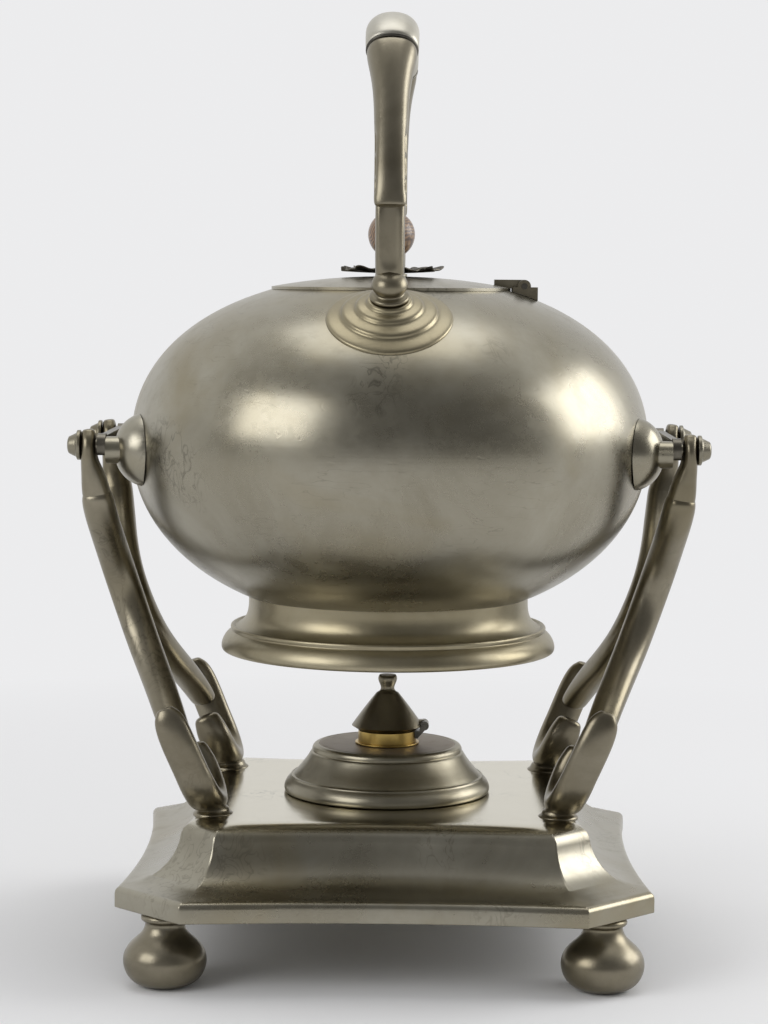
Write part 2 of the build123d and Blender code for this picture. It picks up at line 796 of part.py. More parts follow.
leaf_inner_x = lid_r + 2 * side_gap
leaf_outer_x = hinge_x + 5.4
leaf_top_z = hinge_z - 0.4
knuckle_start = lid_knuckle_length / 2 + side_gap
with BuildPart() as body_leaf:
    for side in (-1, 1):
        middle = side * (knuckle_start + body_knuckle_length / 2)
        with BuildSketch(Plane.XZ.offset(-middle - body_knuckle_length / 2)):
            with Locations((hinge_x, hinge_z)):
                Circle(knuckle_r)
            with Locations((leaf_inner_x, leaf_top_z)):
                Rectangle(leaf_outer_x - leaf_inner_x, 12, align=(Align.MIN, Align.MAX))
        extrude(amount=body_knuckle_length)
    with BuildSketch(Plane.XY.offset(leaf_top_z)):
        with Locations((leaf_outer_x, 0)):
            Rectangle(leaf_outer_x - hinge_x - knuckle_r - side_gap, hinge_length, align=(Align.MAX, Align.CENTER))
    extrude(amount=-12)
    add(bowl_outside, mode=Mode.SUBTRACT)
    with BuildSketch(Plane.XZ.offset(-hinge_length)):
        with Locations((hinge_x, hinge_z)):
            Circle(hinge_pin_r + run_gap)
    extrude(amount=2 * hinge_length, mode=Mode.SUBTRACT)
body_leaf.part.label = "body_leaf"
export_step(body_leaf.part, "parts/body_leaf.step")

with BuildPart() as hinge_pin:
    with BuildSketch(Plane.XZ.offset(-hinge_length / 2 - 0.4)):
        with Locations((hinge_x, hinge_z)):
            Circle(hinge_pin_r)
    extrude(amount=hinge_length + 0.8)
hinge_pin.part.label = "hinge_pin"
export_step(hinge_pin.part, "parts/hinge_pin.step")

# ================================================================ handle

socket_point = (0, -socket_y, shoulder_height(socket_y))
socket_out = (0, -sin(radians(socket_slope)), cos(radians(socket_slope)))
socket_plane = Plane(origin=socket_point, x_dir=(1, 0, 0), z_dir=socket_out)

ring_forms = []
for ring_r, ring_height in socket_rings:
    with BuildPart() as ring_form:
        with BuildSketch(socket_plane.offset(-ring_r)):
            Circle(ring_r)
        extrude(amount=2 * ring_r)
        add(bowl(ring_height), mode=Mode.INTERSECT)
    ring_forms.append(ring_form.part)

with BuildPart() as socket_near:
    for form in ring_forms:
        add(form)
    with BuildSketch(socket_plane):
        Circle(handle_foot_r + 1.2)
    extrude(amount=socket_top)
    add(bowl_outside, mode=Mode.SUBTRACT)
    with BuildSketch(socket_plane.offset(socket_top)):
        Circle(handle_peg_r + run_gap)
    extrude(amount=-handle_peg_length - side_gap, mode=Mode.SUBTRACT)

# the arm's middle line: how far out from the grip's end, and how far up from the socket to the
# grip, as shares, then its width and depth as shares of its slender width
stem_course = (
    (1.03, 0.06, 0.98, 0.84),
    (1.11, 0.20, 0.98, 0.77),
    (1.19, 0.33, 0.98, 0.71),
    (1.22, 0.45, 0.90, 0.61),
    (1.20, 0.54, 0.80, 0.48),
)
arm_course = (
    (1.42, 0.345, 0.94, 0.40),
    (1.43, 0.42, 1.00, 0.61),
    (1.34, 0.54, 1.00, 0.71),
    (1.22, 0.66, 1.06, 0.80),
    (1.00, 0.79, 1.20, 0.92),
    (0.72, 0.905, 1.47, 1.21),
    (0.36, 0.977, 1.57, 1.35),
    (0.00, 1.00, 1.58, 1.32),
)
handle_base = Vector(*socket_point) + Vector(*socket_out) * socket_top
arm_run = -handle_base.Y - grip_half_length
arm_climb = grip_z - grip_arch - handle_base.Z


def handle_point(out, up):
    """A point of the near arm, in the kettle's middle plane."""
    return (0, -grip_half_length - out * arm_run, handle_base.Z + up * arm_climb)


with BuildPart() as handle_arm_near:
    for stations in (stem_course, arm_course):
        planes = course([handle_point(out, up) for out, up, _, _ in stations])
        if stations is arm_course:
            planes[-1] = Plane(origin=handle_point(0, 1), x_dir=(1, 0, 0), z_dir=(0, 1, 0))
        for plane, (_, _, width, depth) in zip(planes, stations):
            with BuildSketch(plane):
                Ellipse(width * arm_width / 2, depth * arm_width / 2)
        loft()
    # turned foot under the arm: a flat bead, a groove and a round bead
    with BuildSketch(socket_plane.offset(socket_top)):
        Circle(handle_foot_r)
    extrude(amount=2.0)
    with BuildSketch(socket_plane.offset(socket_top)):
        Circle(handle_foot_r - 1.8)
    extrude(amount=4.0)
    with Locations(socket_plane.offset(socket_top + handle_ball_rise).location):
        Sphere(handle_ball_r)
    split(bisect_by=socket_plane.offset(socket_top), keep=Keep.TOP)
    with BuildSketch(socket_plane.offset(socket_top)):
        Circle(handle_peg_r)
    extrude(amount=-handle_peg_length)
    # the tenon that carries the grip
    with BuildSketch(Plane.XZ.offset(grip_half_length)):
        with Locations((0, grip_z - grip_arch)):
            Circle(grip_tenon_r)
    extrude(amount=-grip_tenon_length)

for name, near in (("handle_socket", socket_near.part), ("handle_arm", handle_arm_near.part)):
    for node, piece in ((f"{name}_near", near), (f"{name}_far", mirror(near, about=Plane.XZ))):
        piece.label = node
        export_step(piece, f"parts/{node}.step")

grip_places = [
    (grip_half_length - grip_ring_thick, 0.0, 1.0),
    (0.62 * grip_half_length, 0.65, 1.02),
    (0.3 * grip_half_length, 0.92, 1.03),
    (0.0, 1.0, 1.03),
]
grip_stations = [(-y, arch, swell) for y, arch, swell in grip_places]
grip_stations += [(y, arch, swell) for y, arch, swell in reversed(grip_places[:-1])]
with BuildPart() as grip:
    for y, arch, swell in grip_stations:
        with BuildSketch(Plane.XZ.offset(-y)):
            with Locations((0, grip_z - grip_arch * (1 - arch))):
                Ellipse(grip_half_width * swell, grip_half_height * swell)
    loft()
    for y in (-grip_half_length, grip_half_length):
        with BuildSketch(Plane.XZ.offset(-y)):
            with Locations((0, grip_z - grip_arch)):
                Circle(grip_tenon_r + run_gap)
        extrude(amount=grip_tenon_length + side_gap, dir=(0, -y, 0), mode=Mode.SUBTRACT)
grip.part.label = "grip"
export_step(grip.part, "parts/grip.step")

# a thin band between each arm and the grip
for end, sign in (("near", -1), ("far", 1)):
    with BuildPart() as grip_band:
        with BuildSketch(Plane.XZ.offset(-sign * grip_half_length)):
            with Locations((0, grip_z - grip_arch)):
                Ellipse(grip_half_width + grip_ring_proud, grip_half_height + grip_ring_proud)
                Circle(grip_tenon_r + run_gap, mode=Mode.SUBTRACT)
        extrude(amount=grip_ring_thick, dir=(0, -sign, 0))
    grip_band.part.label = f"grip_band_{end}"
    export_step(grip_band.part, f"parts/grip_band_{end}.step")

# ================================================================ burner

with BuildPart() as burner_font:
    with BuildSketch(Plane.XZ):
        with BuildLine():
            Polyline(
                (font_base_r, plateau_top),
                (burner_r - 1.0, plateau_top),
                (burner_r, plateau_top + 1.6),
            )
            band = ThreePointArc(
                (burner_r, plateau_top + 1.6),
                (burner_r - 0.8, plateau_top + 0.68 * burner_ridge_height),
                (burner_ridge_r, plateau_top + burner_ridge_height),
            )
            ThreePointArc(
                (burner_ridge_r, plateau_top + burner_ridge_height),
                (burner_top_r + 3.6, plateau_top + 0.62 * burner_height),
                (burner_top_r, burner_top - burner_wall),
            )
            Line((burner_top_r, burner_top - burner_wall), (burner_top_r - burner_wall, burner_top - burner_wall))
            ThreePointArc(
                (burner_top_r - burner_wall, burner_top - burner_wall),
                (burner_top_r + 1.6, plateau_top + 0.62 * burner_height - 0.6),
                (font_base_r - 1.0, plateau_top + font_base_thick + 2.0),
            )
            Polyline(
                (font_base_r - 1.0, plateau_top + font_base_thick + 2.0),
                (font_base_r - 1.0, plateau_top + font_base_thick),
                (font_base_r, plateau_top + font_base_thick),
                (font_base_r, plateau_top),
            )
        make_face()
    revolve(axis=Axis.Z)
burner_font.part.label = "burner_font"
export_step(burner_font.part, "parts/burner_font.step")

# the flat top, with the hole that the collar screws into
with BuildPart() as font_top:
    with BuildSketch(Plane.XY.offset(burner_top)):
        Circle(burner_top_r)
        Circle(collar_r - collar_wall + run_gap, mode=Mode.SUBTRACT)
    extrude(amount=-burner_wall)
    top_rim = font_top.edges().filter_by(GeomType.CIRCLE).group_by(Axis.Z)[-1].sort_by(SortBy.RADIUS)[-1]
    chamfer(top_rim, burner_edge / 2)
font_top.part.label = "font_top"
export_step(font_top.part, "parts/font_top.step")

with BuildPart() as font_base:
    with BuildSketch(Plane.XY.offset(plateau_top)):
        Circle(font_base_r)
    extrude(amount=font_base_thick)
font_base.part.label = "font_base"
export_step(font_base.part, "parts/font_base.step")

# the brass collar screws into the burner's top and carries the wick tube
ear_outer_y = snuffer_knuckle_length / 2 + side_gap + snuffer_ear_length
with BuildPart() as wick_collar:
    with BuildSketch(Plane.XY.offset(burner_top)):
        Circle(collar_r)
    extrude(amount=collar_stand)
    with BuildSketch(Plane.XY.offset(burner_top)):
        Circle(collar_r - collar_wall)
    extrude(amount=-collar_depth)
    with BuildSketch(Plane.XY.offset(burner_top - collar_depth)):
        Circle(collar_r - 2 * collar_wall)
    extrude(amount=collar_depth + collar_stand - collar_wall, mode=Mode.SUBTRACT)
    with BuildSketch(Plane.XY.offset(collar_top)):
        Circle(wick_tube_r + run_gap)
    extrude(amount=-2 * collar_wall, mode=Mode.SUBTRACT)
wick_collar.part.label = "wick_collar"
export_step(wick_collar.part, "parts/wick_collar.step")

# the two ears of the snuffer's hinge, on one root that is soldered to the collar's side
with BuildPart() as snuffer_ears:
    with BuildSketch(Plane.XZ.offset(-ear_outer_y)):
        with Locations((snuffer_hinge_x, snuffer_hinge_z)):
            Circle(snuffer_knuckle_r)
        with BuildLine():
            Polyline(
                (collar_r - collar_wall, collar_top - ear_depth),
                (collar_r + 0.6, collar_top - ear_depth),
                (snuffer_hinge_x + snuffer_knuckle_r, snuffer_hinge_z),
                (snuffer_hinge_x - snuffer_knuckle_r, snuffer_hinge_z),
                (snuffer_hinge_x - snuffer_knuckle_r, collar_top),
                (collar_r - collar_wall, collar_top),
                close=True,
            )
        make_face()
    extrude(amount=2 * ear_outer_y)
    with BuildSketch(Plane.XZ.offset(-snuffer_knuckle_length / 2 - side_gap)):
        with Locations((snuffer_hinge_x, snuffer_hinge_z)):
            Circle(snuffer_knuckle_r + side_gap)
        with Locations((snuffer_hinge_x - snuffer_knuckle_r - 2 * side_gap, collar_top)):
            Rectangle(4 * snuffer_knuckle_r, 4 * snuffer_knuckle_r, align=(Align.MIN, Align.MIN))
    extrude(amount=snuffer_knuckle_length + 2 * side_gap, mode=Mode.SUBTRACT)
    with BuildSketch(Plane.XZ.offset(-2 * ear_outer_y)):
        with Locations((snuffer_hinge_x, snuffer_hinge_z)):
            Circle(snuffer_pin_r + run_gap)
    extrude(amount=4 * ear_outer_y, mode=Mode.SUBTRACT)
    with BuildSketch(Plane.XY.offset(burner_top)):
        Circle(collar_r)
    extrude(amount=collar_stand, mode=Mode.SUBTRACT)
snuffer_ears.part.label = "snuffer_ears"
export_step(snuffer_ears.part, "parts/snuffer_ears.step")

with BuildPart() as wick_tube:
    with BuildSketch(Plane.XY.offset(collar_top)):
        Circle(wick_tube_r)
        Circle(wick_tube_r - wick_tube_wall, mode=Mode.SUBTRACT)
    extrude(amount=-wick_tube_depth)
wick_tube.part.label = "wick_tube"
export_step(wick_tube.part, "parts/wick_tube.step")

with BuildPart() as wick:
    with BuildSketch(Plane.XY.offset(collar_top + wick_show)):
        Circle(wick_tube_r - wick_tube_wall)
    extrude(amount=-min(wick_length, collar_top + wick_show - plateau_top - font_base_thick))
wick.part.label = "wick"
export_step(wick.part, "parts/wick.step")

# the conical snuffer, hollow, with its own knuckle between the collar's ears
cone_lift = 1.7
with BuildPart() as snuffer_cap:
    with BuildSketch(Plane.XZ):
        with BuildLine():
            Polyline((0, snuffer_base + snuffer_height), (0, snuffer_base + snuffer_cone_height - 3))
            ThreePointArc(
                (0, snuffer_base + snuffer_cone_height - 3),
                (0.42 * snuffer_r, snuffer_base + 0.46 * snuffer_cone_height),
                (collar_r - snuffer_wall, snuffer_base),
            )
            Polyline(
                (collar_r - snuffer_wall, snuffer_base),
                (collar_r, snuffer_base),
                (snuffer_r, snuffer_base + cone_lift),
            )
            ThreePointArc(
                (snuffer_r, snuffer_base + cone_lift),
                (0.65 * snuffer_r, snuffer_base + 0.58 * snuffer_cone_height),
                (snuffer_shoulder_r, snuffer_base + snuffer_cone_height),
            )
            Spline(
                (snuffer_shoulder_r, snuffer_base + snuffer_cone_height),
                (snuffer_neck_r, snuffer_base + snuffer_cone_height + 2.2),
                (snuffer_knob_r - 0.1, snuffer_base + snuffer_height - 2.6),
                (snuffer_knob_r - 0.5, snuffer_base + snuffer_height),
            )
            Line((snuffer_knob_r - 0.5, snuffer_base + snuffer_height), (0, snuffer_base + snuffer_height))
        make_face()
    revolve(axis=Axis.Z)
    with BuildSketch(Plane.XZ.offset(-ear_outer_y - side_gap)):
        with Locations((snuffer_hinge_x - snuffer_knuckle_r - side_gap, snuffer_base)):
            Rectangle(2 * snuffer_r, 2 * snuffer_r, align=(Align.MIN, Align.MIN))
    extrude(amount=2 * (ear_outer_y + side_gap), mode=Mode.SUBTRACT)
    with BuildSketch(Plane.XZ.offset(-snuffer_knuckle_length / 2)):
        with Locations((snuffer_hinge_x, snuffer_hinge_z)):
            Circle(snuffer_knuckle_r)
        with Locations((snuffer_hinge_x, snuffer_hinge_z + 0.5)):
            Rectangle(2 * snuffer_knuckle_r + 1.2, 1.6, align=(Align.MAX, Align.MIN))
    extrude(amount=snuffer_knuckle_length)
    with BuildSketch(Plane.XZ.offset(-snuffer_knuckle_length)):
        with Locations((snuffer_hinge_x, snuffer_hinge_z)):
            Circle(snuffer_pin_r + run_gap)
    extrude(amount=2 * snuffer_knuckle_length, mode=Mode.SUBTRACT)
snuffer_cap.part.label = "snuffer_cap"
export_step(snuffer_cap.part, "parts/snuffer_cap.step")

with BuildPart() as snuffer_pin:
    with BuildSketch(Plane.XZ.offset(-ear_outer_y - 0.3)):
        with Locations((snuffer_hinge_x, snuffer_hinge_z)):
            Circle(snuffer_pin_r)
    extrude(amount=2 * ear_outer_y + 0.6)
snuffer_pin.part.label = "snuffer_pin"
export_step(snuffer_pin.part, "parts/snuffer_pin.step")
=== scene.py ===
"""A pewter spirit kettle on its stand, dressed over its fixed frame. Everything is in metres."""

import json
from math import atan2, copysign, cos, hypot, radians, sin, tau

import bmesh
import bpy
from bpy.props import FloatProperty, FloatVectorProperty, IntProperty, PointerProperty
from mathutils import Matrix, Vector


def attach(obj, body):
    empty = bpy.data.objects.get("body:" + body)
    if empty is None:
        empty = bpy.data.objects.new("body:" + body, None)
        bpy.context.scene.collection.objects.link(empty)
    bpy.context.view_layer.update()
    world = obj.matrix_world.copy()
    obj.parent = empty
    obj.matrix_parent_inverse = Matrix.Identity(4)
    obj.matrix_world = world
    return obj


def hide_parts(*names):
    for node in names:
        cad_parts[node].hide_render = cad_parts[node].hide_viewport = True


bl_info = {
    "name": "Spirit kettle on stand",
    "version": (1, 0, 0),
    "blender": (4, 5, 0),
    "location": "View3D > Sidebar > Kettle",
    "description": "Dresses a tilting pewter kettle, its stand and its spirit burner",
    "category": "Object",
}

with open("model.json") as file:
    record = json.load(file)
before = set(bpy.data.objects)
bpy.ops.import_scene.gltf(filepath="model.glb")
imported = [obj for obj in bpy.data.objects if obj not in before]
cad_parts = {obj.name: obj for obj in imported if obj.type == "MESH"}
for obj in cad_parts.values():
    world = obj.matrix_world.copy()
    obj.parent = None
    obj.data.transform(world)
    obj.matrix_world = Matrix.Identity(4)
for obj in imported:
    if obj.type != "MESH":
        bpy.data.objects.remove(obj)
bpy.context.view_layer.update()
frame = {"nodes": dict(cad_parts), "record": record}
NODES = frame["nodes"]

# ---------------------------------------------------------------- materials


def new_material(name):
    """An empty node material and its shader."""
    material = bpy.data.materials.new(name)
    material.use_nodes = True
    nodes = material.node_tree.nodes
    nodes.clear()
    shader = nodes.new("ShaderNodeBsdfPrincipled")
    output = nodes.new("ShaderNodeOutputMaterial")
    material.node_tree.links.new(shader.outputs["BSDF"], output.inputs["Surface"])
    return material, shader


def object_place(material, stretch=(1.0, 1.0, 1.0), turn=(0.0, 0.0, 0.0)):
    """Object coordinates through a mapping that stretches and turns a pattern."""
    nodes, links = material.node_tree.nodes, material.node_tree.links
    place = nodes.new("ShaderNodeTexCoord")
    mapping = nodes.new("ShaderNodeMapping")
    mapping.inputs["Scale"].default_value = stretch
    mapping.inputs["Rotation"].default_value = [radians(a) for a in turn]
    links.new(place.outputs["Object"], mapping.inputs["Vector"])
    return mapping.outputs["Vector"]


def noise(material, place, scale, detail=4.0, roughness=0.55, distortion=0.0):
    """A noise pattern's value at a place."""
    node = material.node_tree.nodes.new("ShaderNodeTexNoise")
    node.inputs["Scale"].default_value = scale
    node.inputs["Detail"].default_value = detail
    node.inputs["Roughness"].default_value = roughness
    node.inputs["Distortion"].default_value = distortion
    material.node_tree.links.new(place, node.inputs["Vector"])
    return node.outputs["Fac"]


def steps(material, value, stops):
    """A colour ramp over a value, from (position, colour) stops."""
    ramp = material.node_tree.nodes.new("ShaderNodeValToRGB")
    while len(ramp.color_ramp.elements) < len(stops):
        ramp.color_ramp.elements.new(0.5)
    for element, (position, colour) in zip(ramp.color_ramp.elements, stops):
        element.position = position
        element.color = (*colour, 1.0)
    material.node_tree.links.new(value, ramp.inputs["Fac"])
    return ramp.outputs["Color"]


def grey_steps(material, value, low, high, dark=0.0, light=1.0):
    """A value spread from dark to light between two levels."""
    spread = material.node_tree.nodes.new("ShaderNodeMapRange")
    spread.inputs["From Min"].default_value = low
    spread.inputs["From Max"].default_value = high
    spread.inputs["To Min"].default_value = dark
    spread.inputs["To Max"].default_value = light
    material.node_tree.links.new(value, spread.inputs["Value"])
    return spread.outputs["Result"]


def blend_colours(material, amount, first, second, mode="MIX"):
    """Two colours, each a socket or a triple, mixed by a socket or a number."""
    mix = material.node_tree.nodes.new("ShaderNodeMix")
    mix.data_type = "RGBA"
    mix.blend_type = mode
    links = material.node_tree.links
    for value, socket in ((amount, mix.inputs[0]), (first, mix.inputs[6]), (second, mix.inputs[7])):
        if isinstance(value, bpy.types.NodeSocket):
            links.new(value, socket)
        elif isinstance(value, (int, float)):
            socket.default_value = value
        else:
            socket.default_value = (*value, 1.0)
    return mix.outputs[2]


def combine(material, operation, first, second=0.0):
    """A maths step on two values, each a socket or a number."""
    node = material.node_tree.nodes.new("ShaderNodeMath")
    node.operation = operation
    for value, socket in ((first, node.inputs[0]), (second, node.inputs[1])):
        if isinstance(value, bpy.types.NodeSocket):
            material.node_tree.links.new(value, socket)
        else:
            socket.default_value = value
    return node.outputs[0]


def bump(material, shader, layers):
    """Bumps laid one over another, each a height, its strength and its depth in metres."""
    normal = None
    for height, strength, depth in layers:
        if not strength:
            continue
        node = material.node_tree.nodes.new("ShaderNodeBump")
        node.inputs["Strength"].default_value = strength
        node.inputs["Distance"].default_value = depth
        material.node_tree.links.new(height, node.inputs["Height"])
        if normal is not None:
            material.node_tree.links.new(normal, node.inputs["Normal"])
        normal = node.outputs["Normal"]
    material.node_tree.links.new(normal, shader.inputs["Normal"])


def fine_lines(material, place, scale, width, distortion=0.0):
    """Thin wandering lines, where a noise passes its middle value."""
    value = noise(material, place, scale, detail=2.5, roughness=0.5, distortion=distortion)
    away = combine(material, "ABSOLUTE", combine(material, "SUBTRACT", value, 0.5))
    return grey_steps(material, away, 0.0, width, 1.0, 0.0)


def marks(material, place, wear):
    """Twig-like scratches in a few patches, and long hair lines in others."""
    patches = noise(material, place, 19.0, detail=1.0)
    twigs = fine_lines(material, object_place(material, (1.0, 1.0, 0.6)), 170.0, 0.045, distortion=1.2)
    hairs = fine_lines(material, object_place(material, (1.0, 1.0, 5.0), (0, 8, 20)), 46.0, 0.008)
    twigs = combine(material, "MULTIPLY", twigs, grey_steps(material, patches, 0.58, 0.66))
    hairs = combine(material, "MULTIPLY", hairs, grey_steps(material, patches, 0.36, 0.46, 0.5, 0.0))
    return combine(material, "MULTIPLY", combine(material, "MAXIMUM", twigs, hairs), wear)


def pewter(name, light, dark, brown, roughness, wear, turned=0.0, sheen_and_polish_above=None):
    """Aged pewter: clouded grey and olive, brown in patches, finely marked; above a height smoother, and painted
    lighter there as a painted reflection.
    """
    material, shader = new_material(name)
    links = material.node_tree.links
    place = object_place(material)
    clouds = noise(material, place, 17.0, detail=6.0, roughness=0.62, distortion=0.5)
    stains = noise(material, place, 8.0, detail=4.0, roughness=0.6, distortion=0.9)
    mottle = noise(material, place, 150.0, detail=4.0, roughness=0.7)
    tone = blend_colours(material, grey_steps(material, clouds, 0.34, 0.66), dark, light)
    stained = blend_colours(material, grey_steps(material, stains, 0.5, 0.66, 0.0, 0.7), tone, brown)
    speckled = blend_colours(material, grey_steps(material, mottle, 0.54, 0.72, 0.0, 0.25), stained, dark)
    # Above the given height the colour is painted lighter, a painted reflection of the pale room; the roughness
    # also drops there, a real polish.
    if sheen_and_polish_above is not None:
        height = material.node_tree.nodes.new("ShaderNodeSeparateXYZ")
        links.new(place, height.inputs["Vector"])
        sheen_and_polish = grey_steps(material, height.outputs["Z"], sheen_and_polish_above - 0.002, sheen_and_polish_above)
        speckled = blend_colours(material, sheen_and_polish, speckled, [1.75 * c for c in light])
    scored = marks(material, place, wear)
    colour = blend_colours(material, scored, speckled, [0.4 * c for c in dark])
    links.new(colour, shader.inputs["Base Color"])
    shader.inputs["Metallic"].default_value = 1.0
    satin = grey_steps(material, clouds, 0.3, 0.7, roughness - 0.05, roughness + 0.05)
    dulled = combine(material, "ADD", satin, grey_steps(material, mottle, 0.5, 0.7, 0.0, 0.06))
    if sheen_and_polish_above is not None:
        dulled = combine(material, "MULTIPLY", dulled, grey_steps(material, sheen_and_polish, 0.0, 1.0, 1.0, 0.6))
    links.new(dulled, shader.inputs["Roughness"])
    pits = noise(material, place, 300.0, detail=1.0)
    rings = noise(material, object_place(material, (0.3, 0.3, 30.0)), 24.0, detail=3.0)
    grain = noise(material, place, 1000.0, detail=2.0)
    bump(
        material,
        shader,
        (
            (grey_steps(material, pits, 0.24, 0.32), 0.07, 0.0003),
            (combine(material, "SUBTRACT", 1.0, scored), 0.1, 0.0002),
            (grain, 0.05, 0.0001),
            (rings, turned, 0.0003),
            (stains, 0.1, 0.0015),
        ),
    )
    return material


def plain_metal(name, light, dark, roughness):
    """A small metal piece: two close tones, a little grain."""
    material, shader = new_material(name)
    place = object_place(material)
    clouds = noise(material, place, 90.0)
    colour = blend_colours(material, grey_steps(material, clouds, 0.35, 0.65), dark, light)
    material.node_tree.links.new(colour, shader.inputs["Base Color"])
    shader.inputs["Metallic"].default_value = 1.0
    shader.inputs["Roughness"].default_value = roughness
    bump(material, shader, ((noise(material, place, 700.0), 0.08, 0.0001),))
    return material


def turned_wood(name, light, dark):
    """Turned wood with wavy bands of two tones and a fine grain."""
    material, shader = new_material(name)
    links = material.node_tree.links
    place = object_place(material, (1.0, 1.0, 1.0), (0, 64, 20))
    wave = material.node_tree.nodes.new("ShaderNodeTexWave")
    wave.wave_type = "RINGS"
    wave.inputs["Scale"].default_value = 150.0
    wave.inputs["Distortion"].default_value = 5.0
    wave.inputs["Detail"].default_value = 2.0
    wave.inputs["Detail Scale"].default_value = 1.4
    links.new(place, wave.inputs["Vector"])
    colour = steps(material, wave.outputs["Fac"], ((0.0, dark), (0.45, light), (1.0, dark)))
    links.new(colour, shader.inputs["Base Color"])
    shader.inputs["Roughness"].default_value = 0.38
    shader.inputs["Coat Weight"].default_value = 0.3
    shader.inputs["Coat Roughness"].default_value = 0.2
    bump(material, shader, ((noise(material, place, 420.0), 0.15, 0.0002),))
    return material


def twisted_cotton(name, light, dark):
    """Cotton wick with slanted strands."""
    material, shader = new_material(name)
    links = material.node_tree.links
    wave = material.node_tree.nodes.new("ShaderNodeTexWave")
    wave.inputs["Scale"].default_value = 260.0
    wave.inputs["Distortion"].default_value = 2.0
    links.new(object_place(material, (1.0, 1.0, 1.0), (0, 40, 0)), wave.inputs["Vector"])
    colour = blend_colours(material, wave.outputs["Fac"], dark, light)
    links.new(colour, shader.inputs["Base Color"])
    shader.inputs["Roughness"].default_value = 0.95
    bump(material, shader, ((wave.outputs["Fac"], 0.5, 0.0004),))
    return material


# ---------------------------------------------------------------- shapes, drawn in millimetres

MM = 0.001
PIN_Y, PIN_Z = 36.0, 204.0
HEAD_OUTER_X = 121.5
PLATEAU_TOP = 60.2
BURNER_TOP = 80.0
BODY_R, BODY_Z, SHOULDER_RISE, FULLNESS = 105.2, 203.2, 68.6, 2.2
SOCKET_Y = 70.5
SOCKET_TOP = 7.0
SOLDER_GAP = 1e-5


def turned(outline, steps=48, closed=False):
    """A form turned about the Z axis from an outline of radius and height."""
    shape = bmesh.new()
    corners = [shape.verts.new((r * MM, 0.0, z * MM)) for r, z in outline]
    pairs = list(zip(corners, corners[1:]))
    if closed:
        pairs.append((corners[-1], corners[0]))
    edges = [shape.edges.new(pair) for pair in pairs]
    bmesh.ops.spin(
        shape, geom=corners + edges, cent=(0, 0, 0), axis=(0, 0, 1), angle=tau, steps=steps, use_merge=True
    )
    bmesh.ops.remove_doubles(shape, verts=shape.verts, dist=SOLDER_GAP)
    return shape


def limb(stations, fullness=2.4, start_round=1.0, end_round=1.0, sides=12):
    """A bent limb through stations, each a middle, a width across and a depth, with rounded ends."""
    points = [Vector(point) * MM for point, _, _ in stations]
    courses = []
    for number, (_, width, depth) in enumerate(stations):
        along = points[min(number + 1, len(points) - 1)] - points[max(number - 1, 0)]
        along.normalize()
        across = (Vector((1, 0, 0)) - along * along.x).normalized()
        third = along.cross(across)
        courses.append([points[number], across, third, along, width * MM / 2, depth * MM / 2])
    first, last = courses[0], courses[-1]
    for share, reach in ((0.88, 0.62), (0.55, 1.0)):
        for end, sign, bulge in ((first, -1, start_round), (last, 1, end_round)):
            place = end[0] + end[3] * sign * bulge * reach * MM
            extra = [place, end[1], end[2], end[3], end[4] * share, end[5] * share]
            courses.insert(0, extra) if sign < 0 else courses.append(extra)
    frames = []
    for place, across, third, along, half_width, half_depth in courses:
        axes = Matrix((across * half_width, third * half_depth, along * MM)).transposed().to_4x4()
        frames.append(Matrix.Translation(place) @ axes)
    shape = bmesh.new()
    ring = bmesh.ops.create_circle(shape, segments=sides, radius=1.0)["verts"]
    swell = 1.0 + (1.0 - cos(tau / sides)) / 3.0
    for vert in ring:
        turn = atan2(vert.co.y, vert.co.x)
        vert.co.x = swell * copysign(abs(cos(turn)) ** (2 / fullness), cos(turn))
        vert.co.y = swell * copysign(abs(sin(turn)) ** (2 / fullness), sin(turn))
    bmesh.ops.transform(shape, matrix=frames[0], verts=ring)
    edges = list(shape.edges)
    ends = list(edges)
    for before, after in zip(frames, frames[1:]):
        grown = bmesh.ops.extrude_edge_only(shape, edges=edges)["geom"]
        ring = [item for item in grown if isinstance(item, bmesh.types.BMVert)]
        edges = [item for item in grown if isinstance(item, bmesh.types.BMEdge)]
        bmesh.ops.transform(shape, matrix=after @ before.inverted(), verts=ring)
    bmesh.ops.edgeloop_fill(shape, edges=ends)
    bmesh.ops.edgeloop_fill(shape, edges=edges)
    bmesh.ops.recalc_face_normals(shape, faces=shape.faces)
    return shape


def joined(*shapes):
    """Several forms in one."""
    whole = shapes[0]
    for shape in shapes[1:]:
        mesh = bpy.data.meshes.new("part of a form")
        shape.to_mesh(mesh)
        shape.free()
        whole.from_mesh(mesh)
        bpy.data.meshes.remove(mesh)
    return whole


def moved(shape, place=(0, 0, 0), turn=Matrix.Identity(4)):
    """The form turned, then moved by millimetres."""
    bmesh.ops.transform(shape, matrix=Matrix.Translation(Vector(place) * MM) @ turn, verts=shape.verts)
    return shape


def mirrored(shape, x_sign, y_sign):
    """A copy of the form on this side of the middle planes."""
    copy = shape.copy()
    bmesh.ops.transform(copy, matrix=Matrix.Diagonal((x_sign, y_sign, 1.0, 1.0)), verts=copy.verts)
    return copy


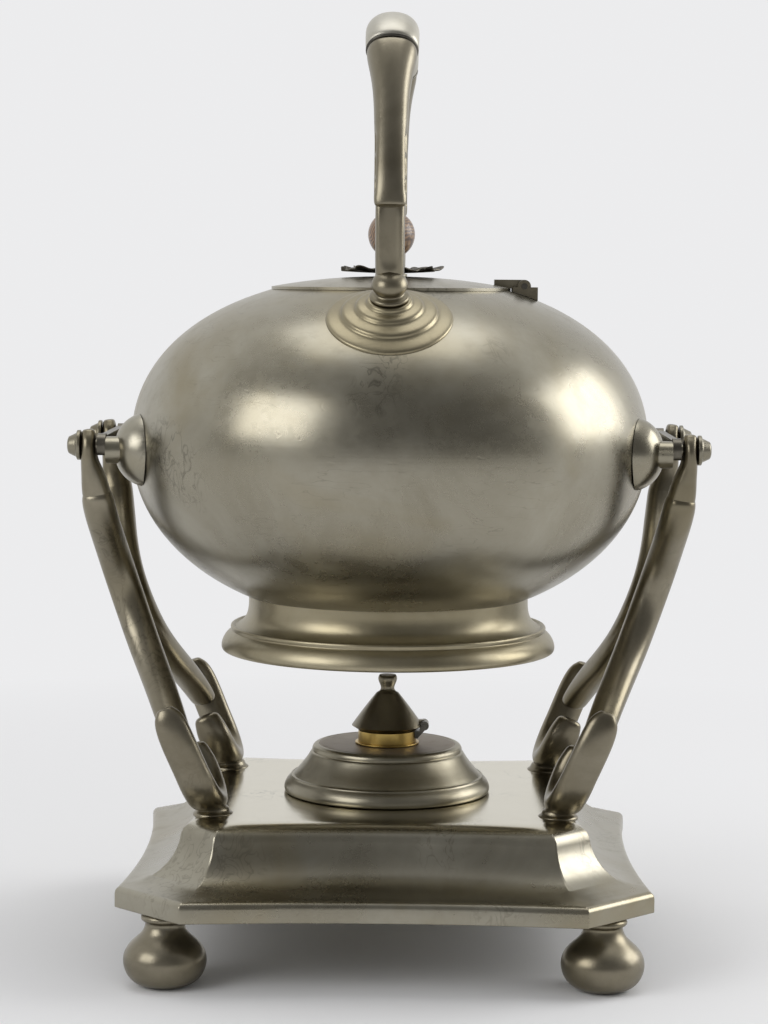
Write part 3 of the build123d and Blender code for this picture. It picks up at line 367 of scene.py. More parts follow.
def finish_piece(shape, name, body, metal, nodes=(), levels=2):
    """The form as a smooth piece that rides on a body and stands for its CAD nodes."""
    bmesh.ops.remove_doubles(shape, verts=shape.verts, dist=SOLDER_GAP)
    bmesh.ops.recalc_face_normals(shape, faces=shape.faces)
    mesh = bpy.data.meshes.new(name)
    shape.to_mesh(mesh)
    shape.free()
    mesh.shade_smooth()
    mesh.materials.append(bpy.data.materials[metal])
    piece = bpy.data.objects.new(name, mesh)
    bpy.context.scene.collection.objects.link(piece)
    if levels:
        smooth = piece.modifiers.new("Smooth", "SUBSURF")
        smooth.levels = levels
        smooth.render_levels = levels
    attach(piece, body)
    if nodes:
        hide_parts(*nodes)
    return piece


def shoulder_height(r):
    """Height of the kettle's shoulder at radius r."""
    return BODY_Z + SHOULDER_RISE * (1 - (r / BODY_R) ** FULLNESS) ** (1 / FULLNESS)


def socket_frame():
    """The handle socket's frame on the kettle's near shoulder, its Z square to the metal."""
    rise = (shoulder_height(SOCKET_Y) - BODY_Z) / SHOULDER_RISE
    outwards = (SOCKET_Y / BODY_R) ** (FULLNESS - 1) / BODY_R
    lean = atan2(outwards, rise ** (FULLNESS - 1) / SHOULDER_RISE)
    place = Vector((0.0, -SOCKET_Y, shoulder_height(SOCKET_Y))) * MM
    return Matrix.Translation(place) @ Matrix.Rotation(lean, 4, "X")


def laid_on_shoulder(shape, frame_matrix):
    """Lets each ring of a form down, along the socket's axis, onto the kettle's curved shoulder."""
    for vert in shape.verts:
        low, high = -30.0 * MM, 5.0 * MM
        for _ in range(24):
            middle = (low + high) / 2
            point = frame_matrix @ Vector((vert.co.x, vert.co.y, middle))
            across = hypot(point.x, point.y) / (BODY_R * MM)
            up = max(point.z / MM - BODY_Z, 0.0) / SHOULDER_RISE
            if across**FULLNESS + up**FULLNESS > 1:
                high = middle
            else:
                low = middle
        vert.co.z += middle
    bmesh.ops.transform(shape, matrix=frame_matrix, verts=shape.verts)
    return shape


# ---------------------------------------------------------------- sizes and colours a user would change


class KettleColours(bpy.types.PropertyGroup):
    """The metals' and the wood's colours."""

    pewter_light: FloatVectorProperty(
        name="Pewter, light", description="Where the pewter is rubbed bright", subtype="COLOR",
        default=(0.37, 0.348, 0.284), min=0.0, max=1.0,
    )
    pewter_dark: FloatVectorProperty(
        name="Pewter, dark", description="Where the pewter is dull", subtype="COLOR",
        default=(0.27, 0.248, 0.19), min=0.0, max=1.0,
    )
    pewter_brown: FloatVectorProperty(
        name="Pewter, brown", description="Brownish stains in the pewter", subtype="COLOR",
        default=(0.265, 0.228, 0.145), min=0.0, max=1.0,
    )


class StageSizes(bpy.types.PropertyGroup):
    """The camera, the floor and the lamps."""

    camera_distance: FloatProperty(
        name="Camera distance", description="From the stand's middle line", unit="LENGTH", default=1.0761,
    )
    camera_height: FloatProperty(
        name="Camera height", description="Above the table", unit="LENGTH", default=0.2708,
    )
    camera_side: FloatProperty(
        name="Camera offset", description="Sideways, to the right", unit="LENGTH", default=-0.0021,
    )
    camera_turn: FloatProperty(
        name="Camera turn", description="About the stand", subtype="ANGLE", default=radians(0.55),
    )
    camera_pitch: FloatProperty(
        name="Camera pitch", description="Downwards", subtype="ANGLE", default=radians(5.07),
    )
    camera_roll: FloatProperty(
        name="Camera roll", description="Anticlockwise", subtype="ANGLE", default=radians(0.49),
    )
    lens: FloatProperty(
        name="Lens", description="Focal length for a 36 mm long side, in millimetres", default=92.86,
    )
    floor_radius: FloatProperty(
        name="Floor radius", description="Of the pale floor", unit="LENGTH", default=4.0,
    )


# ---------------------------------------------------------------- operators


class KETTLE_OT_finishes(bpy.types.Operator):
    """Gives every piece of the frame its finish"""

    bl_idname = "kettle.finishes"
    bl_label = "Finishes"

    def execute(self, context):
        colours = context.scene.kettle_colours
        light, dark, brown = colours.pewter_light, colours.pewter_dark, colours.pewter_brown

        def shade(colour, *gains):
            """The colour, lighter or darker, or a little warmer."""
            red, green, blue = gains if len(gains) == 3 else gains * 3
            return (colour[0] * red, colour[1] * green, colour[2] * blue)

        palette = {
            "pewter": pewter("Aged pewter", light, dark, brown, 0.29, 0.6, turned=0.04),
            "dark_pewter": pewter("Dark pewter", shade(light, 0.8), shade(dark, 0.8), shade(brown, 0.8), 0.34, 0.4),
            # The grip's pewter is much paler than the body's: a matte finish, with painted light from above in its
            # colour.
            "grip_metal": pewter("Grip pewter", shade(light, 1.5, 1.55, 1.7), shade(light, 1.1), light, 0.42, 0.3),
            "brass": plain_metal("Dull brass", (0.55, 0.40, 0.13), (0.34, 0.23, 0.07), 0.3),
            "blackened_metal": plain_metal("Blackened pewter", (0.15, 0.14, 0.12), (0.07, 0.066, 0.056), 0.3),
            "turned_wood": turned_wood("Banded wood", (0.36, 0.22, 0.12), (0.10, 0.065, 0.045)),
            "wick_cotton": twisted_cotton("Wick cotton", (0.8, 0.74, 0.6), (0.5, 0.44, 0.33)),
        }
        upright = pewter("Upright pewter", shade(light, 0.78, 0.75, 0.70), shade(dark, 0.62, 0.59, 0.54), shade(brown, 0.78), 0.32, 0.4)
        pewter("Yellowed pewter", shade(light, 1.0, 0.95, 0.82), shade(dark, 1.0, 0.94, 0.78), brown, 0.34, 0.3, turned=0.08)
        pewter("Burner pewter", shade(light, 0.95, 0.92, 0.84), shade(dark, 0.9), shade(brown, 0.95), 0.32, 0.3, turned=0.1)
        # The plateau top is painted lighter, a painted reflection, and is also made smoother.
        pewter(
            "Base pewter", shade(light, 1.0), shade(dark, 1.0), shade(brown, 1.05), 0.28, 0.35,
            sheen_and_polish_above=PLATEAU_TOP * MM - 0.0002,
        )
        sooty = pewter("Sooty pewter", (0.42, 0.37, 0.31), (0.29, 0.25, 0.205), (0.3, 0.23, 0.16), 0.5, 0.2, turned=0.15)
        leaf = plain_metal("Blackened leaf", (0.16, 0.145, 0.12), (0.03, 0.028, 0.024), 0.4)
        slots = {part["node"]: part["material_slot"] for part in frame["record"]["subparts"]}
        # The crossbars get a darker copy of the pewter: painted shade on the bars between the dome and the
        # uprights' heads.
        bar = plain_metal("Shaded pewter", (0.2, 0.185, 0.15), (0.11, 0.1, 0.08), 0.34)
        own = {
            "font_top": sooty, "rosette": leaf, "crossbar_left": bar, "crossbar_right": bar, "snuffer_cap": upright,
            "body_leaf": upright, "lid_leaf": upright,
        }
        for name, node in NODES.items():
            node.data.materials.clear()
            node.data.materials.append(own.get(name, palette[slots[name]]))
        return {"FINISHED"}


class KETTLE_OT_base(bpy.types.Operator):
    """Makes the base: a moulded flange with cut corners, a cove and a plateau, hollow below"""

    bl_idname = "kettle.base"
    bl_label = "Base"

    FLANGE, FLANGE_CORNER = 104.0, 76.9
    PLATEAU, PLATEAU_CORNER = 71.5, 62.0
    UNDERSIDE = 28.3
    PROFILE = (
        (62.0, 60.2), (66.0, 60.2), (69.0, 60.15), (72.0, 59.9), (74.6, 59.4), (76.8, 58.5), (78.4, 57.2),
        (79.3, 55.6), (79.7, 53.8), (80.2, 51.6), (81.1, 49.2), (82.5, 46.6), (84.5, 44.0), (87.0, 41.6),
        (90.0, 39.6), (93.4, 38.1), (96.8, 37.1), (99.6, 36.6), (101.0, 36.5), (102.2, 36.3), (103.2, 35.7),
        (103.8, 34.8), (104.0, 33.6),
    )
    BOW = 4.5
    WALL = 3.0
    SIDE_STEPS = 16
    FOOT_SPREAD = 83.8
    BOSS = ((0, 28.3), (8.0, 28.3), (8.0, 34.6), (0, 34.6))

    def levels(self, inset):
        """Half widths and heights from the plateau's middle down to the underside, smaller by inset."""
        return [(half - inset, height - inset) for half, height in self.PROFILE] + [
            (self.FLANGE - inset, self.UNDERSIDE)
        ]

    def corner(self, half):
        """Where the cut corner starts at a level of this half width."""
        share = (half - self.PLATEAU) / (self.FLANGE - self.PLATEAU)
        return self.PLATEAU_CORNER + share * (self.FLANGE_CORNER - self.PLATEAU_CORNER)

    def execute(self, context):
        path = self.levels(0.0) + self.levels(self.WALL)[::-1]
        half, height = path[0]
        shape = bmesh.new()
        around = self.SIDE_STEPS + 1
        ring = bmesh.ops.create_circle(shape, segments=4 * around, radius=1.0)["verts"]
        for number, vert in enumerate(ring):
            quarter, step = divmod(number, around)
            share = 2.0 * step / self.SIDE_STEPS - 1.0
            side = Vector((half - self.BOW * (1 - share**2), self.corner(half) * share, height)) * MM
            vert.co = Matrix.Rotation(quarter * tau / 4, 3, "Z") @ side
        edges = list(shape.edges)
        top = list(edges)
        for new_half, new_height in path[1:]:
            grown = bmesh.ops.extrude_edge_only(shape, edges=edges)["geom"]
            edges = [item for item in grown if isinstance(item, bmesh.types.BMEdge)]
            stretch = self.corner(new_half) / self.corner(half)
            for vert in (item for item in grown if isinstance(item, bmesh.types.BMVert)):
                far, near = (0, 1) if abs(vert.co.x) > abs(vert.co.y) else (1, 0)
                vert.co[far] += copysign(MM, vert.co[far]) * (new_half - half)
                vert.co[near] *= stretch
                vert.co.z = new_height * MM
            half = new_half
        bmesh.ops.edgeloop_fill(shape, edges=top)
        bmesh.ops.edgeloop_fill(shape, edges=edges)
        bosses = [
            moved(turned(self.BOSS, steps=32), (x * self.FOOT_SPREAD, y * self.FOOT_SPREAD, 0.0))
            for x in (1, -1)
            for y in (1, -1)
        ]
        piece = finish_piece(
            joined(shape, *bosses), "moulded_base", "stand", "Base pewter", ("base_shell",), levels=0
        )
        edge = piece.modifiers.new("Edges", "BEVEL")
        edge.width = 1.3 * MM
        edge.segments = 3
        edge.limit_method = "ANGLE"
        edge.angle_limit = radians(24)
        edge.harden_normals = True
        return {"FINISHED"}


class KETTLE_OT_globe(bpy.types.Operator):
    """Turns the kettle's hollow body, with its mouth and the hole behind the spout"""

    bl_idname = "kettle.globe"
    bl_label = "Kettle body"

    BELLY_DROP, BELLY_FULLNESS = 72.4, 2.1
    WALL = 2.2
    MOUTH = ((48.4, 265.81), (47.6, 265.81), (44.8, 265.81), (44.5, 265.5), (44.5, 261.5), (44.8, 261.2),
             (47.4, 261.2), (48.2, 262.6))
    MOUTH_TURN = 64.7
    INNER_TURN = 58.0
    SPOUT_Z = 181.0
    BORE = 11.5

    def wall(self, inset, last_turn):
        """The body's outline from its bottom up to the mouth, smaller all round by inset."""
        widest = BODY_R - inset
        turns = [radians(turn) for turn in range(-90, 0, 5)] + [last_turn * step / 14 for step in range(15)]
        points = []
        for turn in turns:
            drop, fullness = (self.BELLY_DROP, self.BELLY_FULLNESS) if turn < 0 else (SHOULDER_RISE, FULLNESS)
            rise = (drop - inset) * abs(sin(turn)) ** (2 / fullness)
            points.append((widest * cos(turn) ** (2 / fullness), BODY_Z + copysign(rise, turn)))
        return points

    def execute(self, context):
        outside = self.wall(0.0, radians(self.MOUTH_TURN))
        inside = self.wall(self.WALL, radians(self.INNER_TURN))
        outside[0], inside[0] = (0.0, outside[0][1]), (0.0, inside[0][1])
        globe = turned(outside + list(self.MOUTH) + inside[::-1], steps=96)
        bore = []
        for face in globe.faces:
            middle = face.calc_center_median() / MM
            if middle.y > 0 and hypot(middle.x, middle.z - self.SPOUT_Z) < self.BORE:
                bore.append(face)
        bmesh.ops.delete(globe, geom=bore, context="FACES")
        rims = [edge for edge in globe.edges if edge.is_boundary]
        bmesh.ops.bridge_loops(globe, edges=rims)
        shells = [name for name in NODES if name.startswith(("kettle_belly", "kettle_shoulder"))]
        finish_piece(globe, "kettle_globe", "kettle", "Aged pewter", shells, levels=1)
        return {"FINISHED"}


class KETTLE_OT_uprights(bpy.types.Operator):
    """Makes the four S-curved uprights with their curled feet, and the four pins"""

    bl_idname = "kettle.uprights"
    bl_label = "Uprights and pins"

    HEAD = (
        ((118.7, -36.0, 209.2), 5.0, 7.4),
        ((118.5, -36.0, 207.2), 5.8, 11.4),
        ((118.5, -36.0, 204.0), 6.0, 13.4),
        ((118.5, -36.0, 200.6), 6.1, 13.0),
        ((118.2, -36.0, 197.4), 6.9, 12.2),
        ((117.3, -36.0, 194.0), 8.4, 11.8),
        ((116.5, -35.9, 190.0), 10.0, 11.4),
        ((115.9, -35.2, 186.0), 11.0, 10.8),
        ((115.0, -33.7, 181.5), 11.2, 10.4),
        ((114.2, -31.4, 177.0), 11.0, 10.2),
    )
    LIMB = (
        ((115.3, -35.2, 183.2), 12.3, 11.6),
        ((114.9, -34.0, 180.6), 12.8, 11.8),
        ((114.0, -30.8, 175.0), 12.8, 11.8),
        ((112.9, -26.0, 169.4), 12.8, 11.8),
        ((111.2, -16.6, 160.0), 13.0, 12.0),
        ((108.2, -10.0, 147.9), 13.2, 12.6),
        ((103.3, -11.1, 134.0), 13.2, 12.6),
        ((98.4, -16.8, 122.0), 13.0, 12.0),
        ((93.0, -27.0, 112.0), 12.6, 11.2),
        ((87.9, -40.6, 103.4), 12.2, 10.0),
        ((83.7, -51.2, 95.4), 11.8, 8.6),
        ((80.4, -58.2, 88.4), 11.2, 7.2),
    )
    CURL_R, CURL_Z, CURL_EAR = 14.8, 79.9, 24.0
    CURL_LEAN = 0.42

    def curl_point(self, out, up):
        """A point of the foot's curl, out and up from its middle, on the leaning upright."""
        return (69.5 + self.CURL_LEAN * (up + self.CURL_R), -50.0 - out, self.CURL_Z + up)

    def execute(self, context):
        turns = [radians(turn) for turn in range(-190, 1, 19)]
        curl = [
            (
                self.curl_point(self.CURL_R * cos(turn), self.CURL_R * sin(turn)),
                13.4 + 1.2 * max(-sin(turn), 0.0),
                8.2 + 1.2 * max(-sin(turn), 0.0),
            )
            for turn in turns
        ]
        curl[0] = (curl[0][0], 11.4, 7.4)
        for out, up, width, depth in (
            (1.4, 7.0, 13.5, 8.2),
            (2.0, 13.0, 13.4, 7.8),
            (1.9, 18.0, 12.6, 7.2),
            (1.5, 21.4, 10.6, 6.4),
            (1.2, self.CURL_EAR - 0.9, 7.4, 5.0),
        ):
            curl.append((self.curl_point(self.CURL_R + out, up), width, depth))
        pad = ((0, 58.6), (8.2, 58.6), (8.1, 60.2), (7.6, 60.7), (6.9, 61.1), (6.4, 61.8), (6.0, 63.4), (0, 64.0))
        pin = (
            (0, -9.5), (2.0, -9.5), (2.4, -9.1), (2.4, -0.1), (2.5, 0), (5.5, 0), (5.95, 0.2), (6, 0.5),
            (6, 1.3), (5.9, 1.6), (5.2, 1.75), (4.75, 1.95), (4.6, 2.4), (3.7, 4.2), (3.45, 4.75),
            (3.2, 5.0), (2.2, 5.45), (0, 5.6),
        )
        upright = joined(
            limb(self.HEAD, fullness=2.6, start_round=1.2),
            limb(self.LIMB, fullness=2.3, start_round=3.8, end_round=1.6),
            limb(curl, fullness=2.35, start_round=2.6, end_round=1.2),
            moved(turned(pad, steps=24), (68.0, -50.0, 0.0)),
        )
        button = moved(
            turned(pin, steps=24), (HEAD_OUTER_X, -PIN_Y, PIN_Z), Matrix.Rotation(radians(90), 4, "Y")
        )
        for end, y_sign in (("near", 1), ("far", -1)):
            for side, x_sign in (("right", 1), ("left", -1)):
                finish_piece(
                    mirrored(upright, x_sign, y_sign), f"{end}_{side}_upright", "stand",
                    "Upright pewter", (f"upright_{end}_{side}",),
                )
                use = "prop" if end == "near" else "pivot"
                finish_piece(
                    mirrored(button, x_sign, y_sign), f"{use}_button_{side}", "stand",
                    "Dark pewter", (f"{use}_pin_{side}",),
                )
        upright.free()
        button.free()
        return {"FINISHED"}


class KETTLE_OT_feet(bpy.types.Operator):
    """Turns the four bun feet"""

    bl_idname = "kettle.feet"
    bl_label = "Bun feet"

    OUTLINE = (
        (0, 0), (6.8, 0), (7.6, 0.15), (11.8, 1.4), (15.0, 4.6), (16.3, 9.0), (16.0, 12.4), (14.4, 15.6),
        (11.6, 18.2), (9.2, 20.2), (8.0, 22.2), (7.5, 23.8), (7.6, 24.8), (8.3, 25.3), (9.1, 25.7), (9.3, 26.4),
        (9.2, 27.2), (8.6, 27.8), (8.3, 28.29), (2.5, 28.29), (2.5, 33), (0, 33),
    )

    def execute(self, context):
        foot = moved(turned(self.OUTLINE, steps=32), (83.8, -83.8, 0.0))
        for end, y_sign in (("near", 1), ("far", -1)):
            for side, x_sign in (("right", 1), ("left", -1)):
                finish_piece(
                    mirrored(foot, x_sign, y_sign), f"{end}_{side}_foot", "stand",
                    "Upright pewter", (f"bun_foot_{end}_{side}",),
                )
        foot.free()
        return {"FINISHED"}


class KETTLE_OT_foot_ring(bpy.types.Operator):
    """Turns the kettle's flared and moulded foot ring"""

    bl_idname = "kettle.foot_ring"
    bl_label = "Foot ring"

    OUTLINE = (
        (57.3, 143.5), (57.1, 139.0), (57.3, 135.4), (58.3, 132.2), (60.4, 130.0), (62.2, 128.9),
        (62.7, 128.8), (62.9, 129.3), (63.6, 129.6), (64.4, 129.3), (64.7, 128.5), (64.4, 127.7), (64.3, 127.2),
        (64.8, 126.9), (66.6, 125.4), (67.9, 123.2), (68.4, 121.2), (68.3, 119.8), (67.7, 119.1),
        (66.8, 119.0), (65.6, 119.2), (63.6, 121.6),
        (61.4, 125.2), (58.0, 128.4), (55.8, 133.0), (55.0, 139.0), (54.9, 145.5),
    )

    def execute(self, context):
        ring = turned(self.OUTLINE, steps=72, closed=True)
        finish_piece(ring, "foot_moulding", "kettle", "Yellowed pewter", ("foot_ring",))
        return {"FINISHED"}


class KETTLE_OT_sockets(bpy.types.Operator):
    """Lays the handle's stepped round plates on the kettle's shoulder"""

    bl_idname = "kettle.sockets"
    bl_label = "Handle sockets"

    OUTLINE = (
        (24.3, -0.4), (24.35, 0.3), (24.1, 0.75), (23.3, 1.0), (21.6, 1.15), (19.6, 1.3), (18.8, 1.5),
        (18.4, 1.9), (18.3, 2.5), (17.8, 2.95), (16.8, 3.15), (15.2, 3.25), (13.6, 3.4), (13.1, 3.8),
        (12.9, 4.4), (12.4, 4.9), (11.3, 5.15), (9.8, 5.25), (8.9, 5.5), (8.7, 6.1), (8.5, 6.7),
        (7.9, 6.95), (6.0, 6.98), (0, 6.98),
    )

    def execute(self, context):
        socket = laid_on_shoulder(turned(self.OUTLINE, steps=72), socket_frame())
        for end, y_sign in (("near", 1), ("far", -1)):
            finish_piece(
                mirrored(socket, 1, y_sign), f"{end}_socket_rings", "kettle",
                "Yellowed pewter", (f"handle_socket_{end}",), levels=1,
            )
        socket.free()
        return {"FINISHED"}


class KETTLE_OT_handle(bpy.types.Operator):
    """Makes the bail handle: its two arms on their turned feet, the bands and the grip"""

    bl_idname = "kettle.handle"
    bl_label = "Handle"

    FOOT = (
        (0, 6.9), (7.2, 6.9), (7.6, 7.3), (7.7, 7.9), (7.4, 8.5), (6.4, 8.9), (5.7, 9.3), (5.5, 9.8),
        (5.9, 10.3), (6.6, 11.2), (7.0, 12.6), (6.7, 14.2), (5.8, 15.8), (4.2, 17.2), (0, 18.2),
    )
    STEM = (
        ((0, -72.8, 268.0), 10.4, 9.6),
        ((0, -74.4, 274.5), 10.9, 9.9),
        ((0, -75.9, 284.0), 11.0, 9.2),
        ((0, -77.2, 296.8), 11.0, 8.4),
        ((0, -77.9, 306.0), 10.6, 7.4),
        ((0, -78.4, 314.0), 9.8, 6.0),
    )
    ARM = (
        ((0, -50.2, 357.4), 19.6, 16.4),
        ((0, -52.8, 354.4), 19.2, 16.6),
        ((0, -58.0, 347.8), 16.0, 15.6),
        ((0, -63.2, 340.4), 13.9, 14.0),
        ((0, -68.0, 332.8), 13.0, 12.4),
        ((0, -72.8, 324.6), 12.5, 11.0),
        ((0, -77.2, 316.0), 12.3, 9.8),
        ((0, -81.0, 307.6), 12.3, 8.8),
        ((0, -83.2, 301.8), 12.3, 7.2),
        ((0, -84.4, 298.0), 12.0, 5.2),
    )
    GRIP = (
        ((0, -49.2, 358.4), 20.4, 17.0),
        ((0, -46.4, 361.0), 20.6, 17.2),
        ((0, -41.0, 363.8), 20.8, 17.3),
        ((0, -33.0, 365.7), 21.0, 17.4),
        ((0, -20.0, 366.4), 21.0, 17.4),
        ((0, 0.0, 366.6), 21.0, 17.4),
    )
    BAND = (
        ((0, -50.4, 357.3), 20.5, 17.3),
        ((0, -49.6, 358.1), 20.5, 17.3),
    )

    def carve(self, arm):
        """Two small hollows on each side of the arm, above its stepped end."""
        notches = [
            face
            for face in arm.faces
            if abs(face.normal.x) > 0.85 and 0.303 < face.calc_center_median().z < 0.321
        ]
        bmesh.ops.inset_individual(arm, faces=notches, thickness=1.0 * MM, depth=-1.1 * MM)
        return arm

    def groove(self, stem):
        """A shallow groove down the stem's outer side."""
        strip = [
            face
            for face in stem.faces
            if face.normal.y < -0.8 and 0.273 < face.calc_center_median().z < 0.312
        ]
        bmesh.ops.inset_region(stem, faces=strip, thickness=1.3 * MM, depth=-1.0 * MM, use_even_offset=True)
        return stem

    def execute(self, context):
        foot = moved(turned(self.FOOT, steps=32))
        bmesh.ops.transform(foot, matrix=socket_frame(), verts=foot.verts)
        arm = joined(
            foot,
            self.groove(limb(self.STEM, fullness=3.6, start_round=0.6, end_round=0.6)),
            self.carve(limb(self.ARM, fullness=2.3, start_round=0.2, end_round=0.8)),
        )
        band = limb(self.BAND, fullness=2.1, start_round=0.3, end_round=0.3, sides=24)
        for end, y_sign in (("near", 1), ("far", -1)):
            finish_piece(
                mirrored(arm, 1, y_sign), f"{end}_handle_arm", "kettle",
                "Upright pewter", (f"handle_arm_{end}",),
            )
            finish_piece(
                mirrored(band, 1, y_sign), f"{end}_seam_band", "kettle",
                "Blackened pewter", (f"grip_band_{end}",), levels=1,
            )
        arm.free()
        band.free()
        half = list(self.GRIP)
        whole = half + [((x, -y, z), width, depth) for (x, y, z), width, depth in reversed(half[:-1])]
        grip = limb(whole, fullness=2.15, start_round=0.3, end_round=0.3, sides=16)
        finish_piece(grip, "bowed_grip", "kettle", "Grip pewter", ("grip",))
        return {"FINISHED"}


class KETTLE_OT_burner(bpy.types.Operator):
    """Turns the burner's moulded body, its sooty top and the collar's lip"""

    bl_idname = "kettle.burner"
    bl_label = "Burner"

    WALL = (
        (38.0, 60.3), (41.4, 60.3), (41.9, 60.5), (42.3, 61.2), (42.35, 62.2), (42.0, 63.6), (41.2, 65.0),
        (40.2, 66.1), (39.8, 66.5), (39.6, 67.0), (39.2, 67.3), (38.8, 67.0), (38.4, 67.1), (37.6, 68.2),
        (35.6, 70.5), (33.6, 73.0), (32.1, 75.2), (31.3, 76.7), (30.8, 76.9), (30.7, 77.3),
        (30.9, 77.5), (30.7, 78.4), (30.3, 79.2), (29.4, 79.8), (28.4, 79.97), (27.9, 79.9), (27.6, 78.4),
        (28.6, 75.8), (30.4, 72.6), (33.6, 68.6), (36.8, 64.8), (37.4, 62.4),
    )
    TOP = ((10.5, 78.4), (10.5, 79.75), (13.0, 79.8), (20.0, 79.9), (27.4, 79.95), (28.3, 79.9), (28.3, 78.4))
    LIP = ((11.8, 79.9), (13.0, 79.9), (13.2, 80.1), (13.2, 80.6), (13.0, 80.8), (11.8, 80.85))

    def execute(self, context):
        finish_piece(
            turned(self.WALL, steps=72, closed=True), "burner_moulding", "burner",
            "Burner pewter", ("burner_font",),
        )
        finish_piece(
            turned(self.TOP, steps=64, closed=True), "sooty_top", "burner",
            "Sooty pewter", ("font_top",), levels=1,
        )
        finish_piece(turned(self.LIP, steps=48, closed=True), "collar_lip", "burner", "Dull brass")
        return {"FINISHED"}


class KETTLE_OT_rosette(bpy.types.Operator):
    """Cuts and bends the leaf rosette under the knob"""

    bl_idname = "kettle.rosette"
    bl_label = "Leaf rosette"

    REACH = 22.0
    BASE = 272.9

    def execute(self, context):
        spokes = [(self.REACH * share, 0.0) for share in (0.075, 0.3, 0.5, 0.68, 0.84, 0.95, 1.0)]
        leaf = turned(spokes, steps=112)
        for vert in leaf.verts:
            turn, reach = atan2(vert.co.y, vert.co.x), hypot(vert.co.x, vert.co.y) / (self.REACH * MM)
            lobes = 0.80 + 0.13 * abs(cos(4 * turn + 0.3)) ** 0.6
            lobes += 0.05 * sin(11 * turn + 1.0) + 0.02 * sin(27 * turn)
            spread = 1 - reach**2 * (1 - lobes)
            vert.co.x *= spread
            vert.co.y *= spread
            rise = 1.7 * reach**2 + 0.65 * reach**2 * sin(8 * turn + 0.7) + 0.45 * reach**3 * sin(19 * turn)
            vert.co.z = (self.BASE + rise) * MM
        piece = finish_piece(
            leaf, "leaf_rosette", "lid", "Blackened leaf", ("rosette",), levels=1
        )
        sheet = piece.modifiers.new("Sheet", "SOLIDIFY")
        sheet.thickness = 0.7 * MM
        sheet.offset = 0.0
        piece.modifiers.move(1, 0)
        return {"FINISHED"}


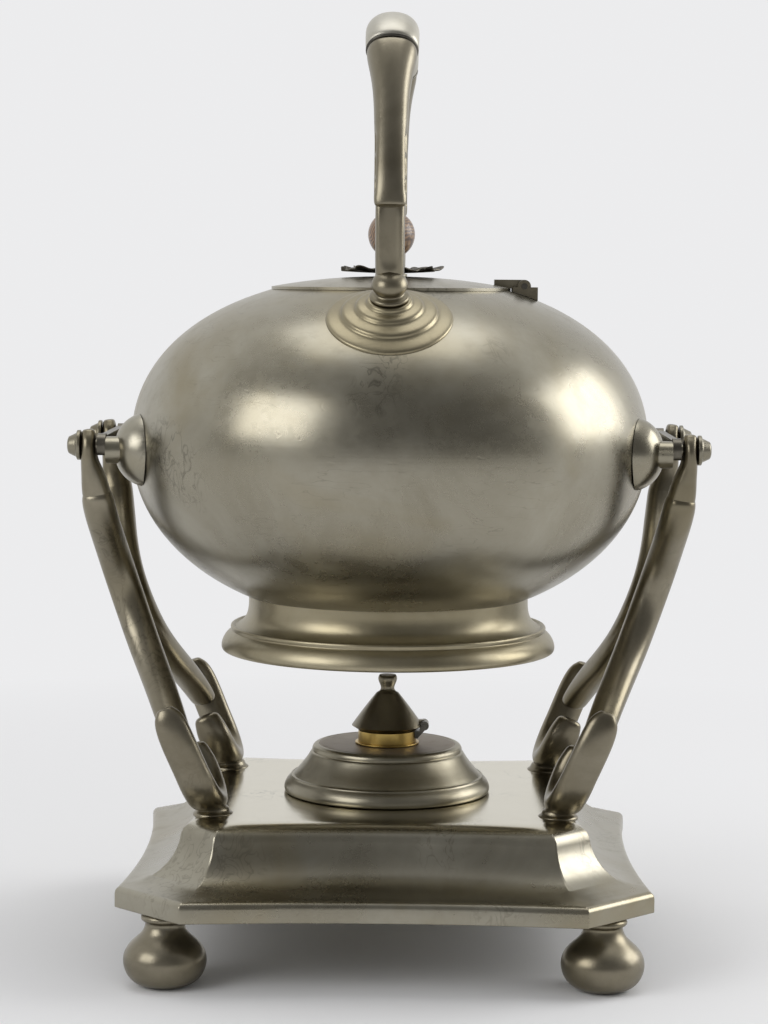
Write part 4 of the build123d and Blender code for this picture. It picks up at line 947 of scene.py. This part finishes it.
class KETTLE_OT_stage(bpy.types.Operator):
    """Makes the floor, the lamps and the camera"""

    bl_idname = "kettle.stage"
    bl_label = "Stage"

    BACKDROP = (0.84, 0.84, 0.85)

    def execute(self, context):
        sizes = context.scene.kettle_stage
        self.make_floor(sizes)
        self.make_world(context.scene)
        self.make_lamps(context.scene)
        self.make_camera(context.scene, sizes)
        context.scene.view_settings.view_transform = "Standard"
        return {"FINISHED"}

    def make_floor(self, sizes):
        """A pale floor that fades into the background far from the object."""
        shape = bmesh.new()
        bmesh.ops.create_circle(shape, cap_ends=True, segments=96, radius=sizes.floor_radius)
        mesh = bpy.data.meshes.new("floor")
        shape.to_mesh(mesh)
        shape.free()
        floor = bpy.data.objects.new("floor", mesh)
        bpy.context.scene.collection.objects.link(floor)
        material, shader = new_material("Pale cloth")
        nodes, links = material.node_tree.nodes, material.node_tree.links
        shader.inputs["Base Color"].default_value = (0.84, 0.84, 0.845, 1.0)
        shader.inputs["Roughness"].default_value = 0.95
        glow = nodes.new("ShaderNodeEmission")
        glow.inputs["Color"].default_value = (*self.BACKDROP, 1.0)
        fade = nodes.new("ShaderNodeMixShader")
        gradient = nodes.new("ShaderNodeTexGradient")
        gradient.gradient_type = "SPHERICAL"
        links.new(object_place(material, (0.9, 0.9, 0.9)), gradient.inputs["Vector"])
        near = grey_steps(material, gradient.outputs["Fac"], 0.35, 0.82)
        links.new(near, fade.inputs["Fac"])
        links.new(glow.outputs["Emission"], fade.inputs[1])
        links.new(shader.outputs["BSDF"], fade.inputs[2])
        output = next(node for node in nodes if node.type == "OUTPUT_MATERIAL")
        links.new(fade.outputs["Shader"], output.inputs["Surface"])
        mesh.materials.append(material)

    def make_world(self, scene):
        """A pale backdrop; the metal sees it behind and at the sides, and a dim room in front."""
        world = bpy.data.worlds.new("Pale room")
        world.use_nodes = True
        scene.world = world
        nodes, links = world.node_tree.nodes, world.node_tree.links
        nodes.clear()
        seen = nodes.new("ShaderNodeBackground")
        seen.inputs["Color"].default_value = (*self.BACKDROP, 1.0)
        lit = nodes.new("ShaderNodeBackground")
        lit.inputs["Color"].default_value = (0.5, 0.5, 0.505, 1.0)
        room = nodes.new("ShaderNodeBackground")
        place = nodes.new("ShaderNodeTexCoord")
        split = nodes.new("ShaderNodeSeparateXYZ")
        links.new(place.outputs["Generated"], split.inputs["Vector"])
        walls = nodes.new("ShaderNodeMapRange")
        walls.interpolation_type = "SMOOTHSTEP"
        walls.inputs["From Min"].default_value = -0.75
        walls.inputs["From Max"].default_value = 0.45
        walls.inputs["To Min"].default_value = 0.19
        walls.inputs["To Max"].default_value = 0.84
        links.new(split.outputs["Y"], walls.inputs["Value"])
        links.new(walls.outputs["Result"], room.inputs["Color"])
        path = nodes.new("ShaderNodeLightPath")
        mirror_ray = nodes.new("ShaderNodeMath")
        mirror_ray.operation = "MAXIMUM"
        links.new(path.outputs["Is Glossy Ray"], mirror_ray.inputs[0])
        links.new(path.outputs["Is Transmission Ray"], mirror_ray.inputs[1])
        inner = nodes.new("ShaderNodeMixShader")
        links.new(mirror_ray.outputs[0], inner.inputs["Fac"])
        links.new(lit.outputs["Background"], inner.inputs[1])
        links.new(room.outputs["Background"], inner.inputs[2])
        outer = nodes.new("ShaderNodeMixShader")
        links.new(path.outputs["Is Camera Ray"], outer.inputs["Fac"])
        links.new(inner.outputs["Shader"], outer.inputs[1])
        links.new(seen.outputs["Background"], outer.inputs[2])
        output = nodes.new("ShaderNodeOutputWorld")
        links.new(outer.outputs["Shader"], output.inputs["Surface"])

    def make_lamps(self, scene):
        """Two large softboxes, left in front and right behind, and a soft one overhead."""
        lamps = (
            ("Left softbox", (-1.0, -0.80, 0.73), 0.85, 0.75, 6.5),
            ("Right softbox", (1.02, 0.2, 0.58), 0.8, 0.62, 6.0),
            ("Overhead softbox", (0.0, 0.25, 1.7), 1.3, 0.9, 6.0),
        )
        for name, place, width, height, power in lamps:
            light = bpy.data.lights.new(name, "AREA")
            light.shape = "RECTANGLE"
            light.size = width
            light.size_y = height
            light.energy = power
            lamp = bpy.data.objects.new(name, light)
            lamp.location = place
            aim = Vector((0, 0, 0.2)) - Vector(place)
            lamp.rotation_euler = aim.to_track_quat("-Z", "Y").to_euler()
            scene.collection.objects.link(lamp)

    def make_camera(self, scene, sizes):
        """The camera at the photograph's angle."""
        camera = bpy.data.objects.new("camera", bpy.data.cameras.new("camera"))
        camera.data.lens = sizes.lens
        camera.data.sensor_width = 36.0
        turn, pitch, roll = sizes.camera_turn, sizes.camera_pitch, sizes.camera_roll
        right = Vector((cos(turn), sin(turn), 0.0))
        ahead = Vector((-cos(pitch) * sin(turn), cos(pitch) * cos(turn), -sin(pitch)))
        above = right.cross(ahead)
        across = right * cos(roll) + above * sin(roll)
        upwards = above * cos(roll) - right * sin(roll)
        place = right * sizes.camera_side
        place += Vector((sin(turn), -cos(turn), 0.0)) * sizes.camera_distance
        place.z = sizes.camera_height
        camera.matrix_world = Matrix(
            (
                (across.x, upwards.x, -ahead.x, place.x),
                (across.y, upwards.y, -ahead.y, place.y),
                (across.z, upwards.z, -ahead.z, place.z),
                (0.0, 0.0, 0.0, 1.0),
            )
        )
        scene.collection.objects.link(camera)
        scene.camera = camera


class KETTLE_PT_panel(bpy.types.Panel):
    """Lists the kettle's pieces"""

    bl_idname = "KETTLE_PT_panel"
    bl_label = "Spirit kettle"
    bl_space_type = "VIEW_3D"
    bl_region_type = "UI"
    bl_category = "Kettle"

    def draw(self, context):
        for operator in OPERATORS:
            self.layout.operator(operator.bl_idname)


GROUPS = (KettleColours, StageSizes)
OPERATORS = (
    KETTLE_OT_finishes,
    KETTLE_OT_base,
    KETTLE_OT_globe,
    KETTLE_OT_uprights,
    KETTLE_OT_feet,
    KETTLE_OT_foot_ring,
    KETTLE_OT_sockets,
    KETTLE_OT_handle,
    KETTLE_OT_burner,
    KETTLE_OT_rosette,
    KETTLE_OT_stage,
)
CLASSES = GROUPS + OPERATORS + (KETTLE_PT_panel,)


def register():
    for cls in CLASSES:
        bpy.utils.register_class(cls)
    bpy.types.Scene.kettle_colours = PointerProperty(type=KettleColours)
    bpy.types.Scene.kettle_stage = PointerProperty(type=StageSizes)


def unregister():
    del bpy.types.Scene.kettle_stage
    del bpy.types.Scene.kettle_colours
    for cls in reversed(CLASSES):
        bpy.utils.unregister_class(cls)


def main():
    register()
    for operator in OPERATORS:
        group, name = operator.bl_idname.split(".")
        getattr(getattr(bpy.ops, group), name)()


if __name__ == "__main__":
    main()
